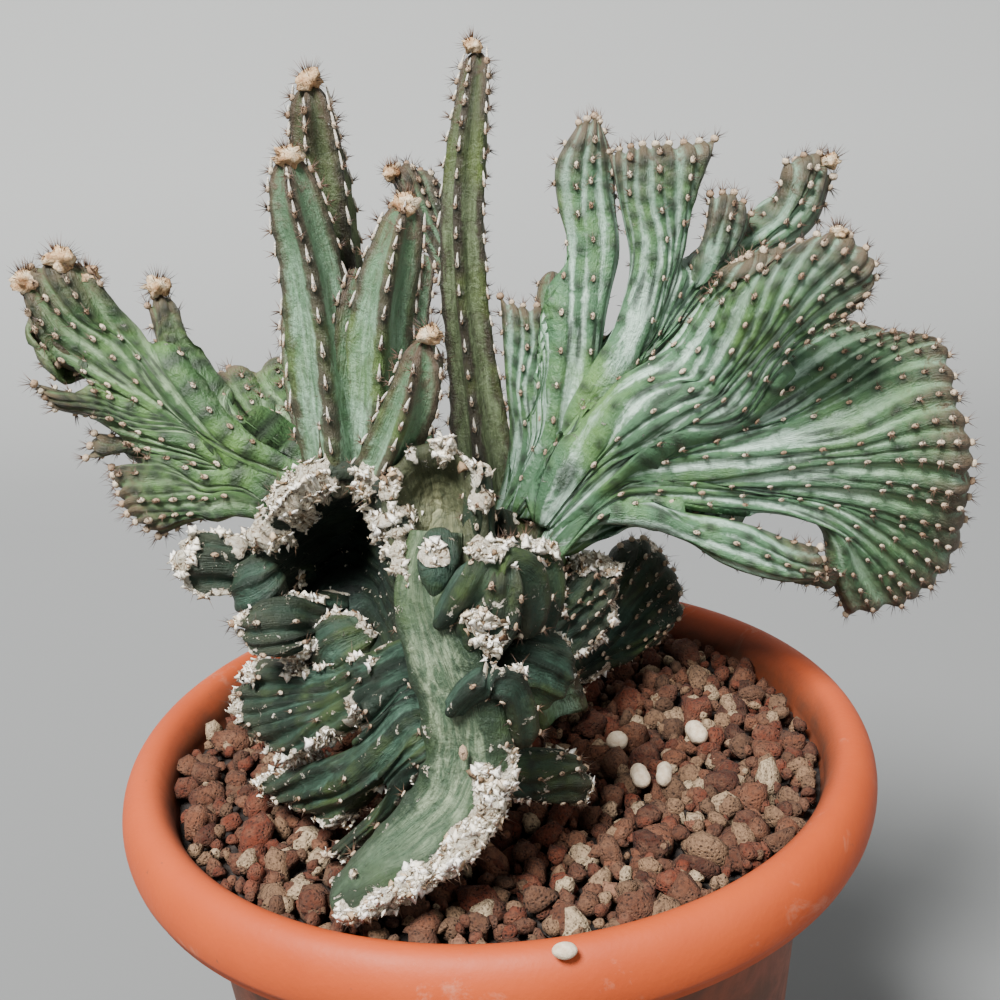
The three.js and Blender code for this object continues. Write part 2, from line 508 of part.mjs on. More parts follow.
// A fan is one body: its lobes lie side by side and share the sheet up to where they part
class Fan {
  constructor(data) {
    this.thick = data.thick;
    const total = data.lobes.reduce((sum, lobe) => sum + lobe.ribs, 0);
    const rootLine = data.root.length > 2 ? curveThrough(data.root)
      : new THREE.LineCurve3(...data.root.map(vector));
    let passed = 0;
    this.lobes = data.lobes.map((lobe, index) => {
      const roots = lobe.guides.map((guide, k) => {
        const rib = passed + (lobe.ribs - 1) * k / (lobe.guides.length - 1);
        return rootLine.getPoint(rib / (total - 1)).toArray();
      });
      passed += lobe.ribs;
      const next = data.lobes[index + 1];
      return new Lobe(lobe, roots, [lobe.split, next ? next.split : 0]);
    });
    this.length = Math.max(...this.lobes.map((lobe) => lobe.length));
  }

  rows() {
    const count = Math.max(2, Math.round(this.length / rowStep));
    const step = tipRounding / this.length;
    const rows = [0];
    for (let i = 1; i < count; i += 1) rows.push(i / count);
    rows.push(1 - step * 0.35, 1);
    return rows;
  }

  // Columns run across all lobes, two for each rib; a web joins two lobes up to their split
  solid() {
    const rows = this.rows();
    const columns = this.lobes.flatMap((lobe, index) => {
      const count = 2 * (lobe.ribs - 1);
      return Array.from({ length: count + 1 }, (_, k) => ({ lobe, index, v: k / count }));
    });
    const open = (i, j) => {
      if (i < 0 || j < 0 || i >= rows.length - 1 || j >= columns.length - 1) return true;
      const [here, next] = [columns[j], columns[j + 1]];
      return here.index !== next.index && rows[i + 1] > here.lobe.partsAt[1] + 1e-6;
    };
    const positions = [];
    const corners = [];
    const places = new Map();
    const place = (i, j, face) => {
      const edge = open(i, j) || open(i - 1, j) || open(i, j - 1) || open(i - 1, j - 1);
      const key = `${i},${j},${edge ? 0 : face}`;
      if (!places.has(key)) {
        places.set(key, positions.length / 3);
        const { lobe, v } = columns[j];
        const point = edge ? lobe.middle(rows[i], v) : lobe.surface(rows[i], v, face, this.thick);
        positions.push(point.x, point.y, point.z);
      }
      return places.get(key);
    };
    for (let i = 0; i < rows.length - 1; i += 1) {
      for (let j = 0; j < columns.length - 1; j += 1) {
        if (open(i, j)) continue;
        for (const face of [1, -1]) {
          const a = place(i, j, face);
          const b = place(i + 1, j, face);
          const c = place(i + 1, j + 1, face);
          const d = place(i, j + 1, face);
          if (face > 0) corners.push(a, b, c, a, c, d);
          else corners.push(a, c, b, a, d, c);
        }
      }
    }
    return solidFrom(positions, corners);
  }

  areoles() {
    return this.lobes.flatMap((lobe) => lobe.areoles(this.thick));
  }
}

// A spear is a star-shaped section carried along its path, closed at a domed tip
class Spear {
  constructor(data) {
    this.ribs = data.ribs;
    this.radii = data.radii;
    this.path = curveThrough(data.path);
    this.length = this.path.getLength();
  }

  frame(u) {
    const along = this.path.getTangentAt(Math.min(1, u));
    const side = new THREE.Vector3(1, 0, 0).addScaledVector(along, -along.x).normalize();
    return { along, side, depth: along.clone().cross(side) };
  }

  surface(u, turn) {
    const { side, depth } = this.frame(u);
    const star = Math.cos(turn * this.ribs);
    const dome = rounded((1 - u) * this.length, tipRounding);
    const radius = blend(this.radii, u) * (1 - ridgeHeight / 2 + ridgeHeight / 2 * star) * dome;
    const out = side.multiplyScalar(Math.cos(turn)).addScaledVector(depth, Math.sin(turn));
    return { at: this.path.getPointAt(Math.min(1, u)).addScaledVector(out, radius), out };
  }

  solid() {
    const count = Math.max(2, Math.round(this.length / rowStep));
    const rows = [];
    for (let i = 0; i < count; i += 1) rows.push(i / count);
    rows.push(1 - tipRounding * 0.3 / this.length);
    const around = 2 * this.ribs;
    const positions = [];
    for (const u of rows) {
      for (let k = 0; k < around; k += 1) {
        const { at } = this.surface(u, (2 * Math.PI * k) / around);
        positions.push(at.x, at.y, at.z);
      }
    }
    const rootPoint = this.path.getPointAt(0);
    const tipPoint = this.path.getPointAt(1);
    positions.push(rootPoint.x, rootPoint.y, rootPoint.z, tipPoint.x, tipPoint.y, tipPoint.z);
    const rootIndex = rows.length * around;
    const corners = [];
    for (let k = 0; k < around; k += 1) {
      const next = (k + 1) % around;
      corners.push(rootIndex, next, k);
      for (let i = 0; i < rows.length - 1; i += 1) {
        const low = i * around;
        const high = low + around;
        corners.push(low + k, low + next, high + next, low + k, high + next, high + k);
      }
      const last = (rows.length - 1) * around;
      corners.push(last + k, last + next, rootIndex + 1);
    }
    return solidFrom(positions, corners);
  }

  areoles() {
    const found = [];
    const count = Math.max(1, Math.round(this.length / areoleStep));
    for (let rib = 0; rib < this.ribs; rib += 1) {
      for (let i = 1; i <= count; i += 1) {
        const u = Math.min(0.94, (i - 0.4 * (rib % 2)) / count);
        if (u > 0.3) found.push(this.surface(u, (2 * Math.PI * (rib + 0.2)) / this.ribs));
      }
    }
    return found;
  }
}

// An areole with its spine is one slim three-sided point, its root sunk in the ridge
function areoleSolid({ at, out }) {
  const spine = new THREE.ConeGeometry(areoleRadius, spineRoot + spineLength, 3);
  spine.translate(0, (spineLength - spineRoot) / 2, 0);
  spine.applyQuaternion(new THREE.Quaternion().setFromUnitVectors(new THREE.Vector3(0, 1, 0), out));
  spine.translate(at.x, at.y, at.z);
  return solidOf(spine);
}

function prism(at, radius, low, high, sides) {
  const geometry = new THREE.CylinderGeometry(radius, radius, high - low, sides);
  geometry.rotateX(Math.PI / 2);
  geometry.translate(at[0], at[1], (low + high) / 2);
  return solidOf(geometry);
}

function cactusSolid() {
  const limbs = [...fans.map((data) => new Fan(data)), ...spears.map((data) => new Spear(data))];
  const areoles = limbs.flatMap((limb) => limb.areoles()).map(areoleSolid);
  const wool = tufts.map(({ at, radius }) => {
    const ball = new THREE.IcosahedronGeometry(radius, 0);
    ball.translate(...at);
    return solidOf(ball);
  });
  const grown = joined([...limbs.map((limb) => limb.solid()), ...areoles, ...wool]);
  const aboveGravel = grown.subtract(prism([0, 0], 2 * rimRadius, 0, clearLevel, 4));
  const roots = pegs.map(({ at, radius, top, foot }) => prism(at, radius, foot, top, 12));
  return outerSkin(joined([aboveGravel, ...roots]));
}

// The pot's profile turns from the middle of the base up the wall, over the rim and back inside
function potProfile() {
  const rimMiddle = potHeight - rimHalfHeight;
  const rimCentre = rimRadius - rimHalfWidth;
  const profile = [
    [0, 0],
    [baseRadius - footChamfer, 0],
    [baseRadius, footChamfer],
    [wallTopRadius, rimMiddle - rimHalfHeight],
    [rimCentre, rimMiddle - rimHalfHeight + 1],
    [seamRadius - 1, rimMiddle - 5.2],
    [seamRadius, rimMiddle - 4.5],
  ];
  for (let i = 0; i <= rollSteps; i += 1) {
    const turn = -0.45 + ((Math.PI + 0.45) * i) / rollSteps;
    profile.push([rimCentre + rimHalfWidth * Math.cos(turn), rimMiddle + rimHalfHeight * Math.sin(turn)]);
  }
  profile.push(
    [wallTopRadius - wallThickness + 1.5, rimMiddle - rimHalfHeight],
    [baseRadius - wallThickness, floorThickness],
    [0, floorThickness],
  );
  return profile.map(([r, z]) => new THREE.Vector2(r, z));
}

function lathe(profile, segments) {
  const geometry = new THREE.LatheGeometry(profile, segments);
  geometry.rotateX(Math.PI / 2);
  return solidOf(geometry);
}

function potSolid() {
  let pot = lathe(potProfile(), potSegments);
  for (let i = 0; i < drainCount; i += 1) {
    const turn = (2 * Math.PI * i) / drainCount;
    const at = [drainRing * Math.cos(turn), drainRing * Math.sin(turn)];
    pot = pot.subtract(prism(at, drainRadius, -1, floorThickness + 1, 10));
  }
  return pot;
}

// The air over the gravel: its underside is a field of six-sided stones with dark gaps between
function airOverGravel() {
  const random = seeded(7);
  const rowHeight = stoneSpacing * Math.sqrt(3) / 2;
  const reach = rimRadius;
  const cells = new Map();
  const across = Math.ceil(reach / stoneSpacing);
  const down = Math.ceil(reach / rowHeight);
  for (let j = -down; j <= down; j += 1) {
    for (let i = -across; i <= across; i += 1) {
      const x = (i + (j & 1) / 2) * stoneSpacing + (random() - 0.5) * 0.3 * stoneSpacing;
      const y = j * rowHeight + (random() - 0.5) * 0.3 * stoneSpacing;
      cells.set(`${i},${j}`, { x, y, rise: stoneRise * (0.45 + 0.55 * random()), tilt: random() * 6 });
    }
  }
  const neighbours = (i, j) => {
    const shift = j & 1;
    return [[i + 1, j], [i + shift, j + 1], [i - 1 + shift, j + 1],
      [i - 1, j], [i - 1 + shift, j - 1], [i + shift, j - 1]];
  };
  const positions = [];
  const corners = [];
  const shared = new Map();
  const roof = potHeight + 30;
  const vertex = (key, x, y, z) => {
    if (!shared.has(key)) {
      shared.set(key, positions.length / 3);
      positions.push(x, y, z);
    }
    return shared.get(key);
  };
  const edges = new Map();
  const face = (a, b, c) => {
    corners.push(a, c, b);
    for (const [p, q] of [[a, b], [b, c], [c, a]]) {
      const back = `${q},${p}`;
      if (edges.has(back)) edges.delete(back);
      else edges.set(`${p},${q}`, [p, q]);
    }
  };
  for (const [key, cell] of cells) {
    const [i, j] = key.split(",").map(Number);
    const ring = neighbours(i, j);
    if (ring.some(([p, q]) => !cells.has(`${p},${q}`))) continue;
    const border = [];
    const top = [];
    ring.forEach(([p, q], k) => {
      const next = ring[(k + 1) % 6];
      const trio = [[i, j], [p, q], next];
      const near = trio.map(([s, t]) => cells.get(`${s},${t}`));
      const x = (near[0].x + near[1].x + near[2].x) / 3;
      const y = (near[0].y + near[1].y + near[2].y) / 3;
      const name = trio.map((pair) => pair.join(",")).sort().join(" ");
      border.push(vertex(name, x, y, gravelLevel));
      const inX = cell.x + (x - cell.x) * stoneTopShare;
      const inY = cell.y + (y - cell.y) * stoneTopShare;
      const lift = cell.rise + 0.35 * Math.cos(k * Math.PI / 3 + cell.tilt);
      top.push(vertex(`${key} ${k}`, inX, inY, gravelLevel + lift));
    });
    for (let k = 0; k < 6; k += 1) {
      const next = (k + 1) % 6;
      face(border[k], border[next], top[next]);
      face(border[k], top[next], top[k]);
    }
    for (let k = 1; k < 5; k += 1) face(top[0], top[k], top[k + 1]);
  }
  // Walls and a roof close the air, well outside the pot
  const middle = positions.length / 3;
  positions.push(0, 0, roof);
  const raised = new Map();
  const lifted = (p) => {
    if (!raised.has(p)) {
      raised.set(p, positions.length / 3);
      positions.push(positions[3 * p], positions[3 * p + 1], roof);
    }
    return raised.get(p);
  };
  for (const [p, q] of edges.values()) {
    const pUp = lifted(p);
    const qUp = lifted(q);
    corners.push(p, q, qUp, p, qUp, pUp, pUp, qUp, middle);
  }
  return solidFrom(positions, corners);
}

function fillSolid() {
  const innerFoot = baseRadius - wallThickness - fillGap;
  const innerTop = rimRadius - 2 * rimHalfWidth - fillGap;
  const innerShoulder = wallTopRadius - wallThickness + 1.5 - fillGap;
  const shoulder = potHeight - 2 * rimHalfHeight;
  const profile = [
    [0, floorThickness + fillGap],
    [innerFoot - 0.1, floorThickness + fillGap],
    [innerShoulder, shoulder],
    [innerTop, potHeight - rimHalfHeight],
    [innerTop, potHeight],
    [0, potHeight],
  ].map(([r, z]) => new THREE.Vector2(r, z));
  let fill = lathe(profile, potSegments).subtract(airOverGravel());
  for (const { at, radius, foot } of pegs) {
    fill = fill.subtract(prism(at, radius + pegGap, foot - pegGap, potHeight + 10, 12));
  }
  for (const granule of granules) fill = fill.subtract(granuleSolid(granule, fillGap));
  return fill;
}

function granuleSolid({ at, half, turn }, grow) {
  const ball = new THREE.SphereGeometry(1, 8, 6);
  ball.rotateX(Math.PI / 2);
  ball.scale(half[0] + grow, half[1] + grow, half[2] + grow);
  ball.rotateZ(turn);
  ball.translate(...at);
  return solidOf(ball);
}

const object = new THREE.Group();

function place(name, solid, colour, roughness) {
  const material = new THREE.MeshStandardMaterial({ color: colour, roughness, metalness: 0 });
  const mesh = new THREE.Mesh(geometryOf(solid), material);
  mesh.name = name;
  object.add(mesh);
}

place("pot", potSolid(), 0xb5603f, 0.55);
place("gravel", fillSolid(), 0x7a5548, 0.95);
place("cactus", cactusSolid(), 0x5f8264, 0.6);
for (const granule of granules) {
  place(granule.name, granuleSolid(granule, 0), 0xd8cba6, 0.7);
}

export default object;
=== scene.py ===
# A crested cactus in a round terracotta-coloured pot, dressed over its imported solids.
# Sizes and places are millimetres in the row frame, except those of the camera, the lamps and the
# materials. Those are metres, and so are the stored meshes.

import math

import bmesh
import bpy
import numpy as np
from mathutils import Matrix, Vector


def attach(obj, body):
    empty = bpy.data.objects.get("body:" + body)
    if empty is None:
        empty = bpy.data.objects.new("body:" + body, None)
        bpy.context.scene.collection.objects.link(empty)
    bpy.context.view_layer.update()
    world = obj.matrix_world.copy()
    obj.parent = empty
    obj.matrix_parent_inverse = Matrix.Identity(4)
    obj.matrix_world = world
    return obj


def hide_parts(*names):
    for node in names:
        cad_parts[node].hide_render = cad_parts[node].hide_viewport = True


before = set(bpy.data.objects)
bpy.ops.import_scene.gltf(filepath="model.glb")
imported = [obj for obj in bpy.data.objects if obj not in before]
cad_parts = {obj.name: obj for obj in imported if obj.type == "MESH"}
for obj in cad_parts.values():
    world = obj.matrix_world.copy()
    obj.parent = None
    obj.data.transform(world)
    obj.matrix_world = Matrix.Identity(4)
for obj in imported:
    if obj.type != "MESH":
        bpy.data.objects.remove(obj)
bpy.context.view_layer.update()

# Camera
# It stands where the photograph was taken from: a little over a hand's length from the rim,
# looking down, with the phone held slightly turned.

camera_place = (0.0036, -0.2344, 0.2485)
look_down = math.radians(19.96)
turned = math.radians(-3.78)
film_width = 36
focal_length = 50.4
nearest_seen = 0.01
farthest_seen = 20
camera_data = bpy.data.cameras.new("photo_camera")
camera_data.lens = focal_length
camera_data.sensor_width = film_width
camera_data.clip_start = nearest_seen
camera_data.clip_end = farthest_seen
camera = bpy.data.objects.new("photo_camera", camera_data)
ahead = Vector((0, math.cos(look_down), -math.sin(look_down)))
upward = Vector((0, math.sin(look_down), math.cos(look_down)))
rightward = Vector((1, 0, 0))
camera_x = rightward * math.cos(turned) + upward * math.sin(turned)
camera_y = upward * math.cos(turned) - rightward * math.sin(turned)
camera.matrix_world = Matrix.Translation(camera_place) @ Matrix(
    [[camera_x[i], camera_y[i], -ahead[i], 0] for i in range(3)] + [[0, 0, 0, 1]])
bpy.context.collection.objects.link(camera)
bpy.context.scene.camera = camera

# Studio
# A pale sweep of card stands under and behind the pot, lit by three broad soft lamps and an
# even sky. The card is a plain sheet that bends up once. Its colour runs from dark at the front
# to pale up the back, as painted shade and light.

def put_mesh(name, points, faces, tint=None, flow=None):
    """Smooth mesh from points in millimetres and faces of three or four corners, with an optional
    colour for each point (attribute "growth") and an optional pair for each point (UV "flow")."""
    mesh = bpy.data.meshes.new(name)
    corners = np.concatenate([np.asarray(part, np.int64).ravel() for part in faces])
    sizes = np.concatenate([np.full(len(part), part.shape[1]) for part in faces])
    starts = np.concatenate([[0], np.cumsum(sizes)[:-1]])
    used, corners = np.unique(corners, return_inverse=True)
    mesh.vertices.add(len(used))
    mesh.vertices.foreach_set("co", (np.asarray(points)[used] * 0.001).ravel())
    mesh.loops.add(len(corners))
    mesh.loops.foreach_set("vertex_index", corners)
    mesh.polygons.add(len(sizes))
    mesh.polygons.foreach_set("loop_start", starts)
    mesh.update(calc_edges=True)
    mesh.polygons.foreach_set("use_smooth", np.full(len(sizes), True))
    if tint is not None:
        layer = mesh.color_attributes.new("growth", "FLOAT_COLOR", "POINT")
        layer.data.foreach_set("color", np.asarray(tint, float)[used].ravel())
    if flow is not None:
        layer = mesh.uv_layers.new(name="flow")
        layer.data.foreach_set("uv", np.asarray(flow, float)[used][corners].ravel())
    mesh.validate()
    made = bpy.data.objects.new(name, mesh)
    bpy.context.collection.objects.link(made)
    return made


def grid_faces(rows, columns, closed=False):
    """Four-cornered faces of a grid of rows by columns. A closed grid joins its last column to
    its first."""
    i, j = np.meshgrid(np.arange(rows - 1), np.arange(columns if closed else columns - 1), indexing="ij")
    k = (j + 1) % columns
    return np.stack([i * columns + j, i * columns + k, (i + 1) * columns + k, (i + 1) * columns + j],
                    axis=-1).reshape(-1, 4)


def add_node(material, kind, inputs=None, **settings):
    """A node of that kind with its settings, and its inputs set to values or joined to sockets."""
    node = material.node_tree.nodes.new(kind)
    for key, value in settings.items():
        setattr(node, key, value)
    for key, value in (inputs or {}).items():
        if isinstance(value, bpy.types.NodeSocket):
            material.node_tree.links.new(value, node.inputs[key])
        else:
            node.inputs[key].default_value = value
    return node


def new_material(name):
    """A material with nothing but its principled shader."""
    material = bpy.data.materials.new(name)
    material.use_nodes = True
    return material


def own_place(material):
    """The place on the piece in metres, which is its place in the row frame."""
    return add_node(material, "ShaderNodeTexCoord").outputs["Object"]


def ramp(material, value, stops):
    """Colour along stops of (place, colour)."""
    node = add_node(material, "ShaderNodeValToRGB", {"Fac": value})
    line = node.color_ramp
    while len(line.elements) < len(stops):
        line.elements.new(0.5)
    for element, (place, colour) in zip(line.elements, stops):
        element.position = place
        element.color = (*colour, 1) if len(colour) == 3 else colour
    return node.outputs["Color"]


def span(material, value, low, high, to_low=0.0, to_high=1.0):
    """Value carried from the range low..high to the range to_low..to_high and held there."""
    return add_node(material, "ShaderNodeMapRange", {
        "Value": value, "From Min": low, "From Max": high, "To Min": to_low, "To Max": to_high}).outputs[0]


def finish_shader(material, **links):
    """Joins sockets or values to the principled shader's inputs, named with spaces as underscores."""
    shader = material.node_tree.nodes["Principled BSDF"]
    for key, value in links.items():
        socket = shader.inputs[key.replace("_", " ")]
        if isinstance(value, bpy.types.NodeSocket):
            material.node_tree.links.new(value, socket)
        else:
            socket.default_value = value
    return material


sweep_half_width = 1600
sweep_front = -1400
sweep_back = 520
sweep_bend = 380
sweep_top = 2200
sweep_under = 0.2
sweep_across = np.linspace(-sweep_half_width, sweep_half_width, 9)
sweep_turn = np.linspace(0, math.pi / 2, 17)
sweep_y = np.concatenate([[sweep_front], sweep_back + sweep_bend * np.sin(sweep_turn),
                          [sweep_back + sweep_bend]])
sweep_z = np.concatenate([[0], sweep_bend * (1 - np.cos(sweep_turn)), [sweep_top]]) - sweep_under
sweep_points = np.stack(np.broadcast_arrays(sweep_across[None, :], sweep_y[:, None], sweep_z[:, None]), -1)
sweep = put_mesh("studio_sweep", sweep_points.reshape(-1, 3), [grid_faces(len(sweep_y), len(sweep_across))])
card_with_painted_shade = new_material("card_with_painted_shade")
sweep_place = add_node(card_with_painted_shade, "ShaderNodeSeparateXYZ", {"Vector": own_place(card_with_painted_shade)}).outputs["Y"]
# The card's colour grows paler from the front up the back: painted shade and light.
finish_shader(card_with_painted_shade, Roughness=0.9, Base_Color=ramp(card_with_painted_shade, span(card_with_painted_shade, sweep_place, 0.0, 0.9), [
    (0.0, (0.15, 0.153, 0.15)), (0.5, (0.245, 0.248, 0.245)), (0.9, (0.39, 0.394, 0.383))]))
sweep.data.materials.append(card_with_painted_shade)

lit_point = Vector((0, 0, 0.14))
for lamp_name, lamp_place, lamp_size, lamp_power in (
        ("window_lamp", (-0.4, -0.7, 1.3), 0.42, 78.0),
        ("fill_lamp", (0.9, -0.7, 0.6), 0.9, 4.5),
        ("back_lamp", (0.5, 1.2, 0.9), 0.9, 9.0)):
    lamp_data = bpy.data.lights.new(lamp_name, "AREA")
    lamp_data.size = lamp_size
    lamp_data.energy = lamp_power
    lamp = bpy.data.objects.new(lamp_name, lamp_data)
    lamp.location = lamp_place
    lamp.rotation_euler = (lit_point - Vector(lamp_place)).to_track_quat("-Z", "Y").to_euler()
    bpy.context.collection.objects.link(lamp)
sky_colour = (0.86, 0.89, 0.93, 1)
sky_strength = 0.42
sky = bpy.data.worlds.new("even_sky")
sky.use_nodes = True
sky.node_tree.nodes["Background"].inputs["Color"].default_value = sky_colour
sky.node_tree.nodes["Background"].inputs["Strength"].default_value = sky_strength
bpy.context.scene.world = sky

# Pot
# A round nursery pot moulded in terracotta-coloured plastic, thin in the wall, with a hollow
# rolled rim, a small seam under the roll and six drain holes. It is scuffed and water-marked.

pot_height = 118
rim_radius = 70
rim_half_width = 4.7
rim_half_height = 7.4
seam_radius = 69
wall_top_radius = 58
base_radius = 48
wall_thickness = 2.2
floor_thickness = 3
drain_count = 6
drain_radius = 4.5
drain_circle = 30
rim_middle = pot_height - rim_half_height
rim_centre = rim_radius - rim_half_width


def pole_faces(pole, ring, outward=True):
    """Triangles from the pole's point to each step of a closed ring of points."""
    faces = np.stack([np.full(len(ring), pole), ring, np.roll(ring, -1)], 1)
    return faces if outward else faces[:, [0, 2, 1]]


def fine_profile(corners, step):
    """The polyline through the corners, with extra points at most one step apart."""
    parts = []
    for start, end in zip(corners[:-1], corners[1:]):
        count = max(1, math.ceil(math.dist(start, end) / step))
        share = np.arange(count)[:, None] / count
        parts.append(np.asarray(start) + (np.asarray(end) - np.asarray(start)) * share)
    return np.concatenate([*parts, [corners[-1]]])


def lathe_solid(name, profile, segments):
    """Each profile point (radius, height) turned round the Z axis in equal steps. The profile
    starts and ends on the axis, where its poles are single points."""
    turn = np.linspace(0, 2 * math.pi, segments, endpoint=False)
    radius, height = np.asarray(profile[1:-1], float).T
    rings = np.stack([radius[:, None] * np.cos(turn), radius[:, None] * np.sin(turn),
                      np.broadcast_to(height[:, None], (len(radius), segments))], -1)
    points = np.concatenate([rings.reshape(-1, 3), [[0, 0, profile[0][1]], [0, 0, profile[-1][1]]]])
    index = np.arange(len(rings) * segments).reshape(len(rings), segments)
    return put_mesh(name, points, [
        grid_faces(len(rings), segments, closed=True),
        pole_faces(index.size, index[0], outward=False), pole_faces(index.size + 1, index[-1])])


def dress(piece, node, finish):
    """A piece gets its finish, stands for its node of the solids and rides on the one body."""
    piece.data.materials.append(finish)
    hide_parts(node)
    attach(piece, "root")


roll_turn = np.linspace(-0.45, math.pi, 30)
rim_foot = rim_middle - rim_half_height
pot_profile = np.concatenate([
    fine_profile([(0, 0), (base_radius - 1.5, 0), (base_radius - 0.4, 0.4), (base_radius, 1.5),
                  (wall_top_radius, rim_foot - 1), (wall_top_radius + 1, rim_foot),
                  (rim_centre, rim_foot + 0.6), (seam_radius - 1.2, rim_middle - 5.6),
                  (seam_radius - 0.2, rim_middle - 4.8), (seam_radius - 0.1, rim_middle - 3.6)], 6),
    np.stack([rim_centre + rim_half_width * np.cos(roll_turn),
              rim_middle + rim_half_height * np.sin(roll_turn)], 1),
    fine_profile([(wall_top_radius - wall_thickness + 1.5, rim_foot),
                  (base_radius - wall_thickness, floor_thickness), (0, floor_thickness)], 8)])
pot = lathe_solid("pot_shell", pot_profile, segments=160)
drain_profile = [(0, -1), (drain_radius, -1), (drain_radius, floor_thickness + 1), (0, floor_thickness + 1)]
drain_tools = []
for drain in range(drain_count):
    drain_turn = 2 * math.pi * drain / drain_count
    tool = lathe_solid("drain_tool", drain_profile, segments=28)
    tool.location = 0.001 * drain_circle * Vector((math.cos(drain_turn), math.sin(drain_turn), 0))
    cut = pot.modifiers.new("drain", "BOOLEAN")
    cut.operation = "DIFFERENCE"
    cut.object = tool
    drain_tools.append(tool)
bpy.context.view_layer.update()
drained = bpy.data.meshes.new_from_object(pot.evaluated_get(bpy.context.evaluated_depsgraph_get()))
pot.modifiers.clear()
pot.data = drained
for tool in drain_tools:
    bpy.data.objects.remove(tool)

pot_plastic = new_material("terracotta_plastic")


def noise(material, where, scale, detail=4.0, roughness=0.55, distortion=0.0):
    """Height of a cloud noise with about `scale` waves a metre."""
    return add_node(material, "ShaderNodeTexNoise", {
        "Vector": where, "Scale": scale, "Detail": detail, "Roughness": roughness,
        "Distortion": distortion}).outputs["Fac"]


def blend_colour(material, share, first, second):
    """First colour where the share is 0, second where it is 1, and in proportion between."""
    node = add_node(material, "ShaderNodeMix", data_type="RGBA")
    for key, value in (("Factor", share), ("A", first), ("B", second)):
        socket = [s for s in node.inputs if s.name == key and s.enabled][0]
        if isinstance(value, bpy.types.NodeSocket):
            material.node_tree.links.new(value, socket)
        else:
            socket.default_value = value if isinstance(value, float) else (*value, 1)
    return [s for s in node.outputs if s.enabled][0]


def cover(material, first, second, field, low, high, to_low=0.0, to_high=1.0):
    """First colour, covered by the second. The second's share goes in proportion from to_low to
    to_high while the field goes from low to high."""
    return blend_colour(material, span(material, field, low, high, to_low, to_high), first, second)


def maths(material, how, first, second=0.0, clamp=False):
    """Sum, product or other reckoning of two values."""
    return add_node(material, "ShaderNodeMath", {0: first, 1: second},
                    operation=how, use_clamp=clamp).outputs[0]


def bumped(material, height, distance, strength=1.0, under=None):
    """Normal of a surface raised by the height, as high as the distance in metres."""
    inputs = {"Height": height, "Distance": distance, "Strength": strength}
    if under is not None:
        inputs["Normal"] = under
    return add_node(material, "ShaderNodeBump", inputs).outputs[0]


pot_place = own_place(pot_plastic)
deep_terracotta = (0.33, 0.047, 0.008)
pale_terracotta = (0.41, 0.066, 0.012)
dried_lime = (0.46, 0.27, 0.19)
grime = (0.12, 0.05, 0.03)
# Colour for the inner wall above the gravel: painted shade, with some soil grime.
soil_and_painted_shade = (0.06, 0.03, 0.018)
pot_blotch = noise(pot_plastic, pot_place, 26, 5)
pot_colour = ramp(pot_plastic, pot_blotch, [(0.3, deep_terracotta), (0.7, pale_terracotta)])
pot_marks = noise(pot_plastic, pot_place, 85, 8, 0.7, 0.6)
pot_colour = cover(pot_plastic, pot_colour, dried_lime, pot_marks, 0.6, 0.72, 0.0, 0.35)
pot_dirt = noise(pot_plastic, pot_place, 420, 3, 0.6)
pot_colour = cover(pot_plastic, pot_colour, grime, pot_dirt, 0.7, 0.76)
pot_x, pot_y, pot_z = add_node(pot_plastic, "ShaderNodeSeparateXYZ", {"Vector": pot_place}).outputs
pot_square = [maths(pot_plastic, "MULTIPLY", part, part) for part in (pot_x, pot_y)]
pot_radius = maths(pot_plastic, "SQRT", maths(pot_plastic, "ADD", *pot_square))
# The inner wall just above the gravel is darkened all round: painted shade, with some soil grime.
soil_and_shade_mask = maths(pot_plastic, "MULTIPLY", span(pot_plastic, pot_radius, 0.0625, 0.064, 1.0, 0.0),
               span(pot_plastic, pot_z, 0.1135, 0.1195, 1.0, 0.0))
soil_and_shade_mask = maths(pot_plastic, "MULTIPLY", soil_and_shade_mask, span(pot_plastic, pot_marks, 0.3, 0.6, 0.55, 0.9))
pot_colour = blend_colour(pot_plastic, soil_and_shade_mask, pot_colour, soil_and_painted_shade)
pot_grain = bumped(pot_plastic, noise(pot_plastic, pot_place, 900, 4), 0.00012, 0.5)
finish_shader(pot_plastic, Base_Color=pot_colour, Specular_IOR_Level=0.3, Normal=pot_grain,
              Roughness=span(pot_plastic, pot_marks, 0.3, 0.75, 0.5, 0.68))
dress(pot, "pot", pot_plastic)

# Gravel
# Broken pumice and lava grains of 3 to 7 mm lie loose over the mix that fills the pot. They are
# angular and pitted, brick red, pink brown, grey and buff, with dark gaps between them.

gravel_level = 112.8
bed_radius = 59
bed_level = 111.2
fine_level = 112.6
mix_edge_level = 109.5
mix_middle_level = 110.2
mix_gap = 0.4
fill_profile = fine_profile([
    (0, floor_thickness + mix_gap), (45.3, floor_thickness + mix_gap), (56.9, rim_foot),
    (60.0, mix_edge_level), (0, mix_middle_level)], 4)
fill = lathe_solid("gravel_bed", fill_profile, segments=96)


def lumps(points, size, seed):
    """Smooth random heights from -1 to 1, blended between the corners of cubes of that size."""
    corner = np.random.default_rng(seed).uniform(-1, 1, (32, 32, 32))
    place = np.asarray(points) / size + 400
    low = np.floor(place).astype(int)
    part = place - low
    part = part * part * (3 - 2 * part)
    total = 0
    for dx in (0, 1):
        for dy in (0, 1):
            for dz in (0, 1):
                weight = (np.abs(1 - dx - part[..., 0]) * np.abs(1 - dy - part[..., 1])
                          * np.abs(1 - dz - part[..., 2]))
                total = total + weight * corner[(low[..., 0] + dx) % 32, (low[..., 1] + dy) % 32,
                                                (low[..., 2] + dz) % 32]
    return total


def unit(vectors):
    """Vectors brought to length 1."""
    return vectors / np.maximum(np.linalg.norm(vectors, axis=-1, keepdims=True), 1e-9)


